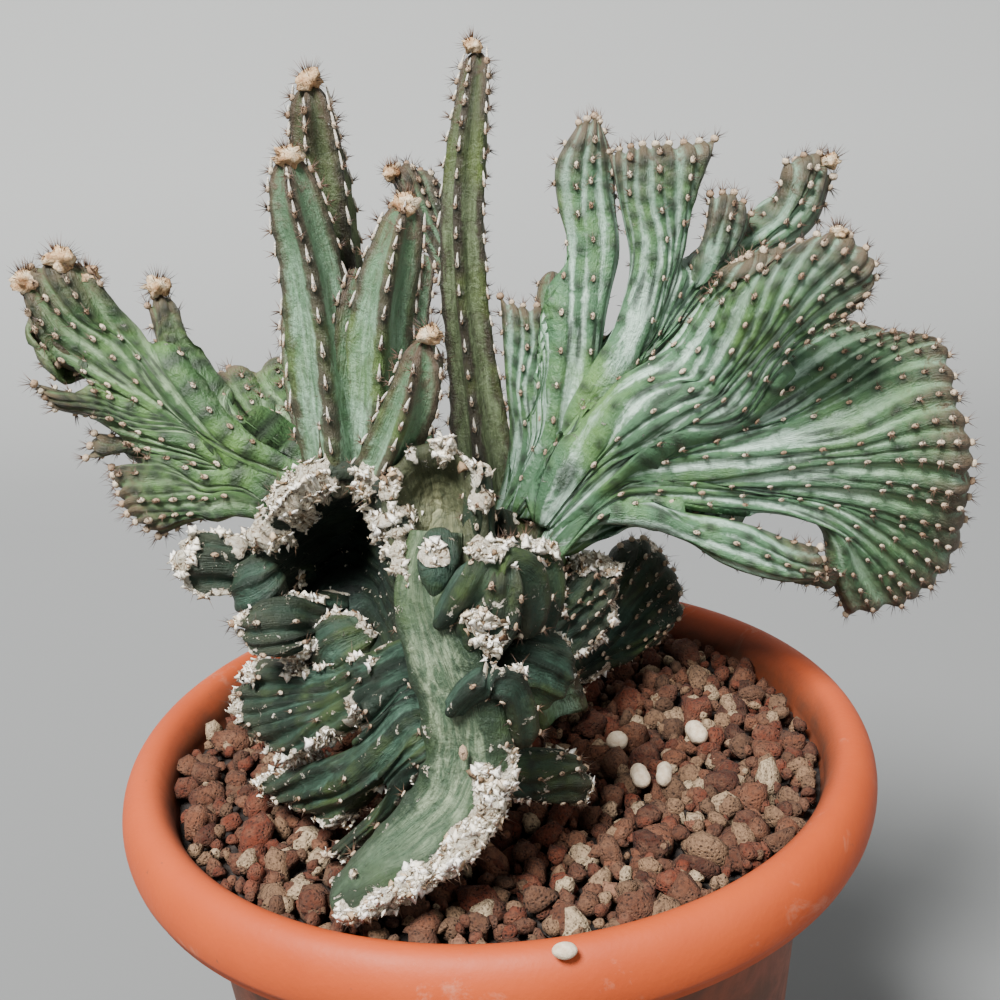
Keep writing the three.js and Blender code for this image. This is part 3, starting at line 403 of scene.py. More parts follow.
def spread(rounds, radius, gap, seed):
    """Random places in a disc, each with its own size near the gap. A try is kept where it lies
    farther than the mean of both sizes from each place before it."""
    draw = np.random.default_rng(seed)
    places = np.empty((0, 3))
    for _ in range(rounds):
        tries = draw.uniform(-radius, radius, (400, 2))
        tries = tries[np.hypot(*tries.T) < radius]
        sizes = gap * draw.uniform(0.72, 1.5, len(tries)) ** 1.2
        for (x, y), size in zip(tries, sizes):
            if len(places) == 0 or np.all(np.hypot(places[:, 0] - x, places[:, 1] - y)
                                          > 0.5 * (places[:, 2] + size)):
                places = np.concatenate([places, [[x, y, size]]])
    return places


def read_shape(shape):
    """Points and faces of a small shape whose faces all have as many corners. It is freed."""
    points = np.array([v.co for v in shape.verts])
    faces = np.array([[v.index for v in f.verts] for f in shape.faces])
    shape.free()
    return points, faces


def block_shape():
    """Points and four-cornered faces of a cube of two by two cells a side, pushed out to a ball."""
    shape = bmesh.new()
    bmesh.ops.create_cube(shape, size=2)
    bmesh.ops.subdivide_edges(shape, edges=shape.edges[:], cuts=1, use_grid_fill=True)
    points, faces = read_shape(shape)
    return unit(points), faces


def copies(shape_faces, shape_size, count):
    """Faces of that many copies of a shape whose points follow each other in one list."""
    shifted = shape_faces[None] + (np.arange(count) * shape_size)[:, None, None]
    return shifted.reshape(-1, shape_faces.shape[1])


block_points, block_faces = block_shape()


def stones(name, places, height, seed):
    """Balls cut flat by random planes, where a point past a plane is drawn back onto it, then
    pitted by lumps, stretched, turned at random and laid at their places."""
    draw = np.random.default_rng(seed)
    count = len(places)
    shape = np.repeat(block_points[None], count, axis=0)
    for _ in range(11):
        facing = unit(draw.normal(size=(count, 1, 3)))
        past = np.sum(shape * facing, axis=2, keepdims=True) - draw.uniform(0.5, 0.92, (count, 1, 1))
        shape = shape - np.maximum(past, 0) * facing
    own = shape + 73 * draw.uniform(0, 1, (count, 1, 3))
    shape = shape * (1.12 + 0.14 * lumps(own, 0.7, seed + 1) + 0.1 * lumps(own, 0.3, seed + 2))[..., None]
    shape = shape * draw.uniform(0.7, 1.2, (count, 1, 3)) * (places[:, 2] * 0.54)[:, None, None]
    across = unit(draw.normal(size=(count, 3)))
    facing = unit(np.cross(across, draw.normal(size=(count, 3))))
    spin = np.stack([across, facing, np.cross(across, facing)], 1)
    points = np.einsum("nij,njk->nik", shape, spin)
    points = points + np.stack([places[:, 0], places[:, 1], height], 1)[:, None]
    tint = np.repeat(draw.uniform(0, 1, (count, 4)), len(block_points), axis=0)
    return put_mesh(name, points.reshape(-1, 3), [copies(block_faces, len(block_points), count)], tint=tint)


bed_places = spread(rounds=40, radius=bed_radius, gap=4.3, seed=3)
bed_height = bed_level + 0.3 * lumps(np.pad(bed_places[:, :2], ((0, 0), (0, 1))), 9, 5)
bed_height += 0.15 * bed_places[:, 2]
bed_stones = stones("gravel_bed_stones", bed_places, bed_height, seed=11)
top_places = spread(rounds=14, radius=58.4, gap=4.6, seed=17)
top_places = top_places[np.hypot(top_places[:, 0], top_places[:, 1]) < 58.6 - 0.3 * top_places[:, 2]]
top_height = gravel_level + 0.2 + 0.5 * np.random.default_rng(4).uniform(-1, 1, len(top_places))
top_stones = stones("gravel_top_stones", top_places, top_height, seed=23)
fine_places = spread(rounds=30, radius=58.6, gap=2.6, seed=29)
fine_height = fine_level + 0.9 * np.random.default_rng(6).uniform(-1, 1, len(fine_places))
fine_stones = stones("gravel_fine_stones", fine_places, fine_height, seed=31)


def read_growth(material):
    """The four values that each point of the piece keeps in its attribute "growth"."""
    marks = add_node(material, "ShaderNodeAttribute", attribute_name="growth")
    parts = add_node(material, "ShaderNodeSeparateColor", {"Color": marks.outputs["Color"]})
    return [parts.outputs[key] for key in ("Red", "Green", "Blue")] + [marks.outputs["Alpha"]]


lava = new_material("lava_and_pumice")
stone_place = own_place(lava)
dark_lava = (0.034, 0.011, 0.006)
red_lava = (0.13, 0.029, 0.013)
brown_lava = (0.07, 0.026, 0.014)
pink_lava = (0.145, 0.054, 0.027)
grey_lava = (0.075, 0.038, 0.021)
buff_pumice = (0.22, 0.13, 0.072)
pale_pumice = (0.42, 0.32, 0.2)
stone_colour = ramp(lava, read_growth(lava)[0], [
    (0.0, dark_lava), (0.2, red_lava), (0.38, brown_lava), (0.55, pink_lava), (0.7, grey_lava),
    (0.86, buff_pumice), (0.97, pale_pumice), (1.0, (0.14, 0.029, 0.013))])
stone_cloud = noise(lava, stone_place, 420, 4, 0.6)
stone_colour = cover(lava, stone_colour, (0.2, 0.11, 0.066), stone_cloud, 0.42, 0.68, 0.0, 0.4)
stone_grain = noise(lava, stone_place, 1300, 6, 0.75)
stone_colour = cover(lava, stone_colour, (0.04, 0.022, 0.016), stone_grain, 0.34, 0.54, 0.8, 0.0)
stone_pits = add_node(lava, "ShaderNodeTexVoronoi", {
    "Vector": stone_place, "Scale": 1500.0}).outputs["Distance"]
stone_colour = cover(lava, stone_colour, (0.03, 0.018, 0.014), stone_pits, 0.1, 0.26, 0.75, 0.0)
stone_relief = maths(lava, "ADD", stone_grain, span(lava, stone_pits, 0.0, 0.45, 0.0, 0.8))
finish_shader(lava, Base_Color=stone_colour, Roughness=0.95, Specular_IOR_Level=0.25,
              Normal=bumped(lava, stone_relief, 0.0007, 0.9))
dark_mix = new_material("dark_mix")
mix_place = own_place(dark_mix)
mix_cloud = noise(dark_mix, mix_place, 500, 6, 0.7)
mix_colour = ramp(dark_mix, mix_cloud, [(0.3, (0.012, 0.009, 0.007)), (0.7, (0.05, 0.033, 0.025))])
finish_shader(dark_mix, Base_Color=mix_colour, Roughness=1.0, Normal=bumped(dark_mix, mix_cloud, 0.002, 1.0))
for gravel_piece, gravel_finish in (
        (fill, dark_mix), (bed_stones, lava), (top_stones, lava), (fine_stones, lava)):
    dress(gravel_piece, "gravel", gravel_finish)

# Granules
# Five cream pellets of slow feed lie loose, four on the gravel and one on the rim. They are
# pressed crumbs with a floury face.

def ball_shape(subdivisions):
    """Points and faces of a ball of radius 1 split from an icosahedron."""
    shape = bmesh.new()
    bmesh.ops.create_icosphere(shape, subdivisions=subdivisions, radius=1)
    return read_shape(shape)


granule_points, granule_faces = ball_shape(subdivisions=4)
crumb_thinning = 0.08
floury = new_material("floury_pellet")
pellet_place = own_place(floury)
pellet_cloud = noise(floury, pellet_place, 900, 6, 0.65)
pellet_colour = ramp(floury, pellet_cloud, [(0.25, (0.34, 0.24, 0.15)), (0.6, (0.54, 0.45, 0.33))])
finish_shader(floury, Base_Color=pellet_colour, Roughness=0.85,
              Normal=bumped(floury, pellet_cloud, 0.0004, 0.8))
for granule_name, granule_at, granule_half, granule_turn in (
        ("granule_oval", (37.5, -3, 115.6), (2.1, 3.3, 2), 0.2),
        ("granule_left", (25.3, -17, 115.6), (1.9, 3.2, 1.9), 0.1),
        ("granule_right", (29.6, -17, 115.6), (1.7, 3.2, 1.8), -0.2),
        ("granule_round", (22.5, -4, 115.5), (2.2, 2, 1.8), 0.6),
        ("granule_rim", (8.6, -67.8, 118.7), (1.9, 1.4, 1.3), 0)):
    pellet = granule_points * (np.array(granule_half) - crumb_thinning)
    if granule_half[1] > 3:
        pellet[:, 0] *= 1 - 0.16 * np.exp(-(granule_points[:, 1] / 0.35) ** 2)
    pellet *= (1 + 0.035 * lumps(pellet + np.array(granule_at), 1.1, 31))[:, None]
    cosine, sine = math.cos(granule_turn), math.sin(granule_turn)
    pellet = pellet @ np.array([[cosine, sine, 0], [-sine, cosine, 0], [0, 0, 1]])
    granule = put_mesh(granule_name + "_pellet", pellet + np.array(granule_at), [granule_faces])
    dress(granule, granule_name, floury)

# Right fan
# The largest crest: one sheet of waxy green stem that widens from a narrow root into a limb, a
# broad palm, a forward curl, an elbow and a comb. New ribs start between the old ones on the way.


def smooth_step(value, low, high):
    """0 below low, 1 above high, and a smooth S between."""
    share = np.clip((value - low) / (high - low), 0, 1)
    return share * share * (3 - 2 * share)


def weave(knots, place):
    """Cubic through the knots, read at places counted in knots. Each span's end slopes weigh the
    spans beside it by the square root of their lengths, so the curve never loops."""
    knots = np.asarray(knots, float)
    place = np.asarray(place, float)
    first = np.clip(np.floor(place).astype(int), 0, len(knots) - 2)
    ends = np.concatenate([[2 * knots[0] - knots[1]], knots, [2 * knots[-1] - knots[-2]]])
    p0, p1, p2, p3 = (ends[first + k] for k in range(4))
    g0, g1, g2 = (np.sqrt(np.maximum(np.linalg.norm(b - a, axis=-1, keepdims=True), 1e-3))
                  for a, b in ((p0, p1), (p1, p2), (p2, p3)))
    m1 = ((p1 - p0) / g0 - (p2 - p0) / (g0 + g1)) * g1 + (p2 - p1)
    m2 = (p2 - p1) + ((p3 - p2) / g2 - (p3 - p1) / (g1 + g2)) * g1
    s = (place - first).reshape(-1, *([1] * (knots.ndim - 1)))
    return ((2 * s ** 3 - 3 * s ** 2 + 1) * p1 + (s ** 3 - 2 * s ** 2 + s) * m1
            + (3 * s ** 2 - 2 * s ** 3) * p2 + (s ** 3 - s ** 2) * m2)


def along_curve(points, shares):
    """Points of the woven curve at shares of its length, and its length."""
    dense = weave(points, np.linspace(0, len(points) - 1, 20 * len(points)))
    run = np.concatenate([[0], np.cumsum(np.linalg.norm(np.diff(dense, axis=0), axis=1))])
    return np.stack([np.interp(shares * run[-1], run, dense[:, k]) for k in range(3)], 1), run[-1]


def quarter_round(distance, reach):
    """Rise of a quarter circle, from 0 at the edge to 1 at that reach."""
    inside = np.clip(distance / reach, 0, 1)
    return np.sqrt(np.maximum(0, 1 - (1 - inside) ** 2))


last_areole = 1.2
dense_from, dense_to = 24, 2


def areole_shares(length, begin, pitch, dense, draw):
    """Shares of a rib where the count of areoles reaches whole numbers. The count grows by the
    run over the spacing, and the spacing falls from the pitch to its dense share at the crest."""
    run = np.linspace(begin * length, length - last_areole, 200)
    spacing = pitch * (dense + (1 - dense) * smooth_step(length - run, dense_to, dense_from))
    count = np.concatenate([[0], np.cumsum(np.diff(run) / spacing[1:])]) + draw.uniform(0, 1)
    return np.interp(np.arange(1, math.floor(count[-1]) + 1), count, run) / length


no_part = 9.0
areole_reach = 1.25


def near_areoles(shares, spots, length):
    """A bell of the distance along each rib to its nearest areole, as rows by ribs."""
    away = np.stack([np.abs(shares[:, None] - np.append(spot, no_part)).min(axis=1) for spot in spots], 1)
    return np.exp(-(away * length / areole_reach) ** 2)


crown_power = 2.1
rib_rise = 0.18


def rib_relief(across, shares, ribs, gap, length, pitch, dense, seed):
    """Height 0..1 of ribs about a gap apart: at each point the tallest crown of all, where a crown
    is a raised cosine bell about its rib's wandering line, to a power that grows with the gap.
    Every other rib, and with many ribs every fourth, rises a part of the way out, and the crowns
    narrow as it does. Also gives a mark where a rib starts and a mark round each areole, both of
    which the skin paints as shade, the width of a crown at each point, and the wander and the
    shares of the areoles of each rib."""
    draw = np.random.default_rng(seed)
    rib = np.arange(ribs)
    begins = np.full(ribs, -1.0)
    coarse = 4 if ribs > 6 else 2 if ribs > 3 else 1
    if coarse == 4:
        begins[2::4] = draw.uniform(0.05, 0.22, len(begins[2::4]))
    if coarse > 1:
        begins[1::2] = draw.uniform(0.38, 0.64, len(begins[1::2])) - 0.16 * (coarse == 2)
    begins[-1] = -1
    wander = 0.2 * np.sin(shares[:, None] * draw.uniform(4, 10, ribs) + draw.uniform(0, 6, ribs))
    wander[:, [0, -1]] = 0
    width = 1 + (coarse - 1) * (1 - smooth_step(shares, 0.15, 0.75)) * 0.8
    rise = smooth_step(shares[:, None], begins, begins + rib_rise)
    spots = [areole_shares(length, max(0.12, begin + 0.1), pitch, dense, draw) for begin in begins]
    close = near_areoles(shares, spots, length)
    away = np.abs(across[None, :, None] - rib - wander[:, None, :]) / width[:, None, None]
    crown = (0.5 + 0.5 * np.cos(np.pi * np.clip(away, 0, 1))) ** (crown_power * max(1, gap / 3))
    halo = np.exp(-(away * width[:, None, None] * gap / 0.9) ** 2) * (close * rise)[:, None, :]
    halo = np.max(halo, axis=2)
    height = np.max(crown * rise[:, None, :], axis=2)
    painted_shade_mark = (4 * rise * (1 - rise))[:, None, :] * np.exp(-((away - 0.3) / 0.16) ** 2)
    return height, np.max(painted_shade_mark, axis=2), halo, np.tile(width[:, None], (1, len(across))), wander, spots


def read_grid(field, row, column):
    """Values of a grid between its points, blended from the four round each place."""
    low = np.clip(row.astype(int), 0, field.shape[0] - 2)
    left = np.clip(column.astype(int), 0, field.shape[1] - 2)
    s, t = row - low, column - left
    if field.ndim == 3:
        s, t = s[:, None], t[:, None]
    return ((field[low, left] * (1 - t) + field[low, left + 1] * t) * (1 - s)
            + (field[low + 1, left] * (1 - t) + field[low + 1, left + 1] * t) * s)


areoles = []
cork_spots = []


def keep_cork(face, outward, crust, draw):
    """Notes places on the crust, with the way out of it, for the flakes that lift off it. One grid
    point in a few is kept, in proportion to the crust there and to the area it stands for."""
    area = np.linalg.norm(np.cross(np.gradient(face, axis=0), np.gradient(face, axis=1)), axis=2)
    clump = smooth_step(lumps(face, 2.1, 77), -0.25, 0.3)
    kept = draw.uniform(0, 1, crust.shape) < np.clip(crust, 0, 1) ** 2 * area * (0.15 + 1.9 * clump)
    if kept.any():
        cork_spots.append(np.concatenate([face[kept], unit(outward[kept])], axis=1))


def keep_areoles(at, out, up, size, share, tail):
    """Notes areoles: place, way out, way up the rib, size, share of the rib and length of wool tail."""
    rows = np.broadcast_arrays(size, share, tail, np.zeros(len(at)))[:3]
    areoles.append(np.concatenate([at, unit(out), unit(up), np.stack(rows, 1)], 1))


def row_shares(rows):
    """Shares of a length for each row. They close up towards the tip."""
    return 1 - (1 - np.linspace(0, 1, rows)) ** 1.2


def crust_height(face, crust, tallest, seed):
    """Height of the cork on a face: the crust times its tallest, broken up by lumps of two sizes."""
    return crust * tallest * np.maximum(0.1, 0.7 + 0.8 * lumps(face, 0.9, seed + 21)
                                        + 0.4 * lumps(face, 0.5, seed + 22))


def both_faces(middle, normal, outward, out, flakes, edge):
    """The middle with its rim rolled outwards by the cork, and the two faces that stand off it."""
    rolled = middle + unit(outward) * (flakes * (1 - edge))[..., None]
    return rolled, rolled + normal * out[..., None], rolled - normal * out[..., None]


far_off = 99.0
side_reach = 2.8
crest_reach = 3.4
web_rib = 2.8
plump_share = 0.9
rib_depth_share, least_rib_depth, most_rib_depth = 0.36, 0.15, 1.6
halo_height = 0.3
bulge_height, bulge_size = 0.8, 15
scallop_height, scallop_reach = 1.1, 5
areole_room = 2.9


def lobe_sheet(name, root, thick, lobes, rows=70, per_rib=9, pitch=7.0, dense=0.42, cork=(0.0, 0.0), seed=1):
    """A fan of lobes side by side as one closed sheet. Its middle is woven through the guides,
    along each and then across them. Each face stands half the thickness off the middle, with the
    ribs on top. A web joins two lobes up to the share where they part. Half the thickness falls
    as a quarter circle to nothing at the root, the crest, the free sides and round each parting.
    Cork stands on it within a ragged distance of the crest and the free sides."""
    shares = row_shares(rows)
    total = sum(lobe["ribs"] for lobe in lobes)
    blocks = []
    passed = 0
    for index, lobe in enumerate(lobes):
        count = len(lobe["guides"])
        place = (passed + (lobe["ribs"] - 1) * np.arange(count) / (count - 1)) / (total - 1)
        starts = weave(root, place * (len(root) - 1)) if len(root) > 2 else \
            np.add(root[0], np.subtract(root[1], root[0]) * place[:, None])
        passed += lobe["ribs"]
        lines, lengths = zip(*(along_curve([start, *guide], shares)
                               for start, guide in zip(starts, lobe["guides"])))
        fine = lobe["fine"]
        across = np.linspace(0, fine - 1, per_rib * (fine - 1) + 1)
        between = across / (fine - 1) * (count - 1)
        stack = np.stack(lines)
        middle = weave(stack, between)
        if count == 2:
            middle = stack[0] + (stack[1] - stack[0]) * between[:, None, None]
        gap = per_rib * np.linalg.norm(np.diff(middle, axis=0), axis=2)[:, rows // 2:].mean()
        blocks.append({
            "middle": middle.transpose(1, 0, 2), "ribs": fine, "length": max(lengths), "bark": lobe["bark"],
            "parts": (lobe["split"] if index else 0,
                      lobes[index + 1]["split"] if index + 1 < len(lobes) else 0),
            "relief": rib_relief(across, shares, fine, gap, max(lengths), pitch, dense, seed * 31 + index)})
    length = max(block["length"] for block in blocks)
    fields = []
    first = 0
    for index, block in enumerate(blocks):
        block["first"] = first
        step = np.linalg.norm(np.diff(block["middle"], axis=1), axis=2)
        run = np.pad(np.cumsum(step, axis=1), ((0, 0), (1, 0)))
        left, right = (np.maximum(0, (part - shares) * block["length"])[:, None] + far_off * (part >= 1)
                       for part in block["parts"])
        side = np.minimum(np.hypot(run, left), np.hypot(run[:, -1:] - run, right))
        height, painted_shade_mark, halo, breadth = block["relief"][:4]
        first += height.shape[1]
        fields.append((block["middle"], height, painted_shade_mark, halo, breadth, side, np.full(height.shape, no_part),
                       np.full(height.shape, block["bark"])))
        if index + 1 < len(blocks):
            near, far = block["middle"][:, -1], blocks[index + 1]["middle"][:, 0]
            part = block["parts"][1]
            widest = np.linalg.norm(far - near, axis=1)[shares < part].max(initial=0)
            extra = int(np.clip(round(widest / web_rib) - 1, 0, 5))
            web = (extra + 1) * per_rib - 1
            share = (np.arange(web) + 1) / (web + 1)
            blank = np.zeros((rows, web))
            gone = np.maximum(0, (part - shares) * max(block["length"], blocks[index + 1]["length"]))[:, None]
            fields.append((
                near[:, None] + (far - near)[:, None] * share[None, :, None],
                blank + (0.5 + 0.5 * np.cos(2 * np.pi * share * (extra + 1))) ** crown_power,
                blank, blank, blank + 1,
                blank + gone + far_off * (part >= 1), blank + part,
                blank + 0.5 * (block["bark"] + blocks[index + 1]["bark"])))
            first += web
    middle, height, painted_shade_mark, halo, breadth, side, parting, bark = (
        np.concatenate(part, axis=1) for part in zip(*fields))
    columns = middle.shape[1]
    down, over = np.gradient(middle, axis=0), np.gradient(middle, axis=1)
    normal = unit(np.cross(down, over))
    spacing = np.linalg.norm(over, axis=2) * per_rib
    to_crest = np.tile((1 - shares)[:, None] * length, (1, columns))
    edge = (quarter_round(side, side_reach) * quarter_round(to_crest, crest_reach)
            * quarter_round(shares[:, None] * length, crest_reach))
    plump = np.interp(shares, np.linspace(0, 1, len(thick)), thick)[:, None] * plump_share
    rib_depth = np.clip(rib_depth_share * spacing * breadth, least_rib_depth, most_rib_depth)
    relief = rib_depth * (height - 0.5) + halo_height * halo
    grown = smooth_step(shares, 0.1, 0.4)[:, None]
    bulge = bulge_height * lumps(middle, bulge_size, seed + 9) * grown
    scallop = scallop_height * (height - 0.6) * smooth_step(to_crest, scallop_reach, 0)
    middle = middle + unit(down) * scallop[..., None] + normal * bulge[..., None]
    ragged = lumps(middle, 2.4, seed + 3)
    from_edge = np.minimum(to_crest, side + 0.3 * cork[0])
    crust = smooth_step(cork[0] * bark * (0.75 + 1.5 * ragged) - from_edge, 0, 0.9) * (cork[0] * bark > 0)
    flakes = crust_height(middle, crust, cork[1], seed)
    waves = 0.3 * lumps(middle, 7, seed) + 0.12 * lumps(middle, 2.5, seed + 5)
    out = (plump + relief + waves) * edge + flakes * (0.4 + 0.6 * edge)
    rolled, front, back = both_faces(middle, normal, down, out, flakes, edge)
    hole = (parting[1:, :-1] < shares[1:, None]) | (parting[1:, 1:] < shares[1:, None])
    padded = np.pad(hole, 1, constant_values=True)
    rim = padded[:-1, :-1] | padded[1:, :-1] | padded[:-1, 1:] | padded[1:, 1:]
    front_index = np.arange(rows * columns).reshape(rows, columns)
    back_index = np.where(rim, front_index, front_index + rows * columns)
    points = np.concatenate([np.where(rim[..., None], rolled, front).reshape(-1, 3), back.reshape(-1, 3)])
    quads = []
    for index, turned_over in ((front_index, False), (back_index, True)):
        quad = np.stack([index[:-1, :-1], index[1:, :-1], index[1:, 1:], index[:-1, 1:]], -1)[~hole]
        quads.append(quad[:, ::-1] if turned_over else quad)
    tip = (0.8 * np.exp(-(to_crest / 5.5) ** 1.3) + 0.2 * np.exp(-(to_crest / 18) ** 2)
           + 0.3 * np.exp(-side / 1.5))
    # The third channel holds the marks where ribs start and round the areoles, painted as shade on the skin.
    growth = np.stack([height, np.clip(tip, 0, 1), np.maximum(painted_shade_mark, 0.8 * halo), crust], -1).reshape(-1, 4)
    flow = np.stack([np.tile(shares[:, None] * length, (1, columns)),
                     np.tile(np.arange(columns) / per_rib, (rows, 1))], -1).reshape(-1, 2)
    piece = put_mesh(name, points, quads, tint=np.concatenate([growth, growth]),
                     flow=np.concatenate([flow, flow]))
    draw = np.random.default_rng(seed + 100)
    keep_cork(front, normal + unit(down) * (1 - edge)[..., None], crust, draw)
    keep_cork(back, unit(down) * (1 - edge)[..., None] - normal, crust, draw)
    row_number = np.arange(rows)
    for block in blocks:
        wander, spots = block["relief"][4:]
        for rib, share in enumerate(spots):
            row = np.interp(share, shares, row_number)
            column = block["first"] + (rib + np.interp(share, shares, wander[:, rib])) * per_rib
            column = np.clip(column, block["first"], block["first"] + (block["ribs"] - 1) * per_rib)
            standing = 4 if rib % 4 == 0 else 2 if rib % 2 == 0 else 1
            roomy = read_grid(spacing, row, column) * standing > areole_room
            bare = (read_grid(crust, row, column) < 0.4) & roomy
            up = read_grid(down, row, column)
            free_from = 2.0
            if rib == 0 and block["parts"][0] < 1:
                free_from, inward = block["parts"][0], min(per_rib, 5)
            elif rib == block["ribs"] - 1 and block["parts"][1] < 1:
                free_from, inward = block["parts"][1], -min(per_rib, 5)
            free = bare & (share > free_from)
            if free.any():
                at = read_grid(rolled, row, column)[free]
                inner = read_grid(rolled, row, column + inward)[free]
                keep_areoles(at, at - inner, up[free], draw.uniform(0.8, 1.1, free.sum()), share[free], 0)
            flat = bare & ~free
            for face, way in ((front, 1), (back, -1)):
                if flat.any():
                    out_way = read_grid(normal, row, column)[flat] * way + 0.25 * unit(up[flat])
                    keep_areoles(read_grid(face, row, column)[flat], out_way, up[flat],
                                 draw.uniform(0.85, 1.15, flat.sum()), share[flat], 0)
        ends = block["first"] + per_rib * np.arange(block["ribs"])
        ends = ends[crust[-2, ends] < 0.5]
        if len(ends):
            keep_areoles(rolled[-1, ends], down[-1, ends], normal[-3, ends],
                         draw.uniform(1.0, 1.3, len(ends)), share=1.2, tail=0)
    return piece


def waxy_stem(name, crown, furrow, wax, young, tip_tone, dirt=0.3, bloom=(0.3, 0.58), painted_shade_right=None):
    """Stem skin: green crowns, pale waxy furrows streaked along the ribs, a younger green in
    clouds, brown growing tips, painted shade in dark wedges where a rib starts and round each
    areole, dark freckles and stains as the dirt says, and flaking white cork where the crust is,
    with painted shade in its crevices and over patches of it. The bloom is the range of the
    streaks that wax covers. Past the range given last, in metres to the right, the skin darkens as
    painted shade."""
    material = new_material(name)
    place = own_place(material)
    height, tip, painted_shade_mark, crust = read_growth(material)
    flow = add_node(material, "ShaderNodeUVMap", uv_map="flow").outputs["UV"]
    broad_place, fine_place = (add_node(material, "ShaderNodeMapping", {
        "Vector": flow, "Scale": scale}).outputs["Vector"] for scale in ((0.13, 2.2, 1.0), (0.5, 13.0, 1.0)))
    broad = noise(material, broad_place, 1.0, 5, 0.6, 0.8)
    fine = noise(material, fine_place, 1.0, 4, 0.6, 0.3)
    cloud = noise(material, place, 70, 5, 0.6)
    mottle = noise(material, place, 420, 5, 0.7, 0.6)
    freckle = noise(material, place, 1400, 5, 0.65)
    body = cover(material, crown, young, cloud, 0.46, 0.7)
    waxed = cover(material, furrow, wax, broad, *bloom)
    for colour, *reach in ((wax, fine, 0.54, 0.7, 0.0, 0.3), (crown, mottle, 0.34, 0.5, 0.55, 0.0),
                           (furrow, tip, 0.02, 0.25, 0.0, 0.75), (young, cloud, 0.5, 0.66, 0.0, 0.45)):
        waxed = cover(material, waxed, colour, *reach)
    # Past the given x the skin darkens towards the right: painted shade.
    if painted_shade_right is not None:
        right = add_node(material, "ShaderNodeSeparateXYZ", {"Vector": place}).outputs["X"]
        waxed = cover(material, waxed, young, right, *painted_shade_right, 0.0, 0.68)
        body = cover(material, body, (0.03, 0.066, 0.026), right, *painted_shade_right, 0.0, 0.75)
    low = maths(material, "SUBTRACT", 1.0, height)
    low = maths(material, "ADD", low, span(material, broad, 0.3, 0.7, -0.15, 0.15), clamp=True)
    low = maths(material, "ADD", low, span(material, mottle, 0.3, 0.7, -0.2, 0.2), clamp=True)
    skin = cover(material, body, waxed, low, 0.2, 0.6)
    skin = cover(material, skin, crown, fine, 0.34, 0.46, 0.5, 0.0)
    ripe = cover(material, tip_tone, furrow, low, 0.3, 0.8)
    ripe = cover(material, ripe, tip_tone, mottle, 0.4, 0.6)
    tipped = maths(material, "ADD", tip, span(material, mottle, 0.3, 0.7, -0.2, 0.2))
    stain = noise(material, place, 150, 4, 0.6, 0.4)
    stained = max(0.0, 1.6 * dirt - 0.5)
    # The near-black green laid where ribs start and round the areoles is painted shade.
    for colour, *reach in ((ripe, tipped, 0.16, 0.8, 0.0, 0.92),
                           ((0.014, 0.02, 0.012), painted_shade_mark, 0.12, 0.7, 0.0, 0.8),
                           ((0.012, 0.02, 0.015), freckle, 0.56, 0.72, 0.0, dirt),
                           (crown, stain, 0.48, 0.62, 0.0, stained)):
        skin = cover(material, skin, colour, *reach)
    flake = noise(material, place, 620, 7, 0.78, 1.4)
    # The cork's darkest stop paints shade in its crevices, and the shade noise lays brown painted shade over
    # patches of it.
    shade = noise(material, place, 240, 3, 0.6)
    cork_colour = ramp(material, flake, [(0.38, (0.012, 0.01, 0.006)), (0.44, (0.34, 0.24, 0.15)),
                                         (0.49, (0.86, 0.77, 0.58)), (0.65, (0.97, 0.93, 0.82))])
    cork_colour = cover(material, cork_colour, (0.38, 0.25, 0.14), shade, 0.54, 0.7, 0.0, 0.55)
    cork_edge = maths(material, "ADD", crust, span(material, flake, 0.3, 0.7, -0.4, 0.4))
    aged = maths(material, "MAXIMUM", span(material, low, 0.3, 0.7, dirt, 0.0),
                 span(material, tip, 0.1, 0.5, 0.0, dirt))
    speck = maths(material, "MULTIPLY", span(material, mottle, 0.56, 0.64), aged)
    cork_edge = maths(material, "ADD", cork_edge, speck)
    is_cork = span(material, cork_edge, 0.42, 0.56)
    colour = blend_colour(material, is_cork, skin, cork_colour)
    relief = maths(material, "ADD", maths(material, "MULTIPLY", fine, 0.7),
                   maths(material, "MULTIPLY", freckle, 0.35))
    relief = maths(material, "ADD", relief, maths(material, "MULTIPLY", mottle, 0.9))
    normal = bumped(material, relief, 0.0009, 0.75)
    normal = bumped(material, maths(material, "MULTIPLY", flake, is_cork), 0.002, 1.0, under=normal)
    roughness = span(material, is_cork, 0.0, 1.0, 0.42 + 0.25 * dirt, 0.95)
    return finish_shader(material, Base_Color=colour, Roughness=roughness,
                         Specular_IOR_Level=0.5 - 0.3 * dirt, Normal=normal)


def join_cactus(skin, *pieces):
    """Pieces of the plant get their skin and stand for the solid plant."""
    for piece in pieces:
        dress(piece, "cactus", skin)


def lobe_plan(ribs, fine, split, guides, bark=1.0):
    """A lobe of a sheet: the ribs it takes of the root's width, the ribs it carries, the share of
    the length where it parts from the lobe before it, its guides and its share of the bark."""
    return {"ribs": ribs, "fine": fine, "split": split, "guides": guides, "bark": bark}


# The fan's skin darkens past 52 mm to the right as painted shade.
fan_skin = waxy_stem(
    "waxy_fan_skin", crown=(0.066, 0.15, 0.074), furrow=(0.18, 0.31, 0.215), wax=(0.46, 0.62, 0.5),
    young=(0.1, 0.2, 0.055), tip_tone=(0.085, 0.055, 0.033), bloom=(0.27, 0.56), painted_shade_right=(0.052, 0.076))

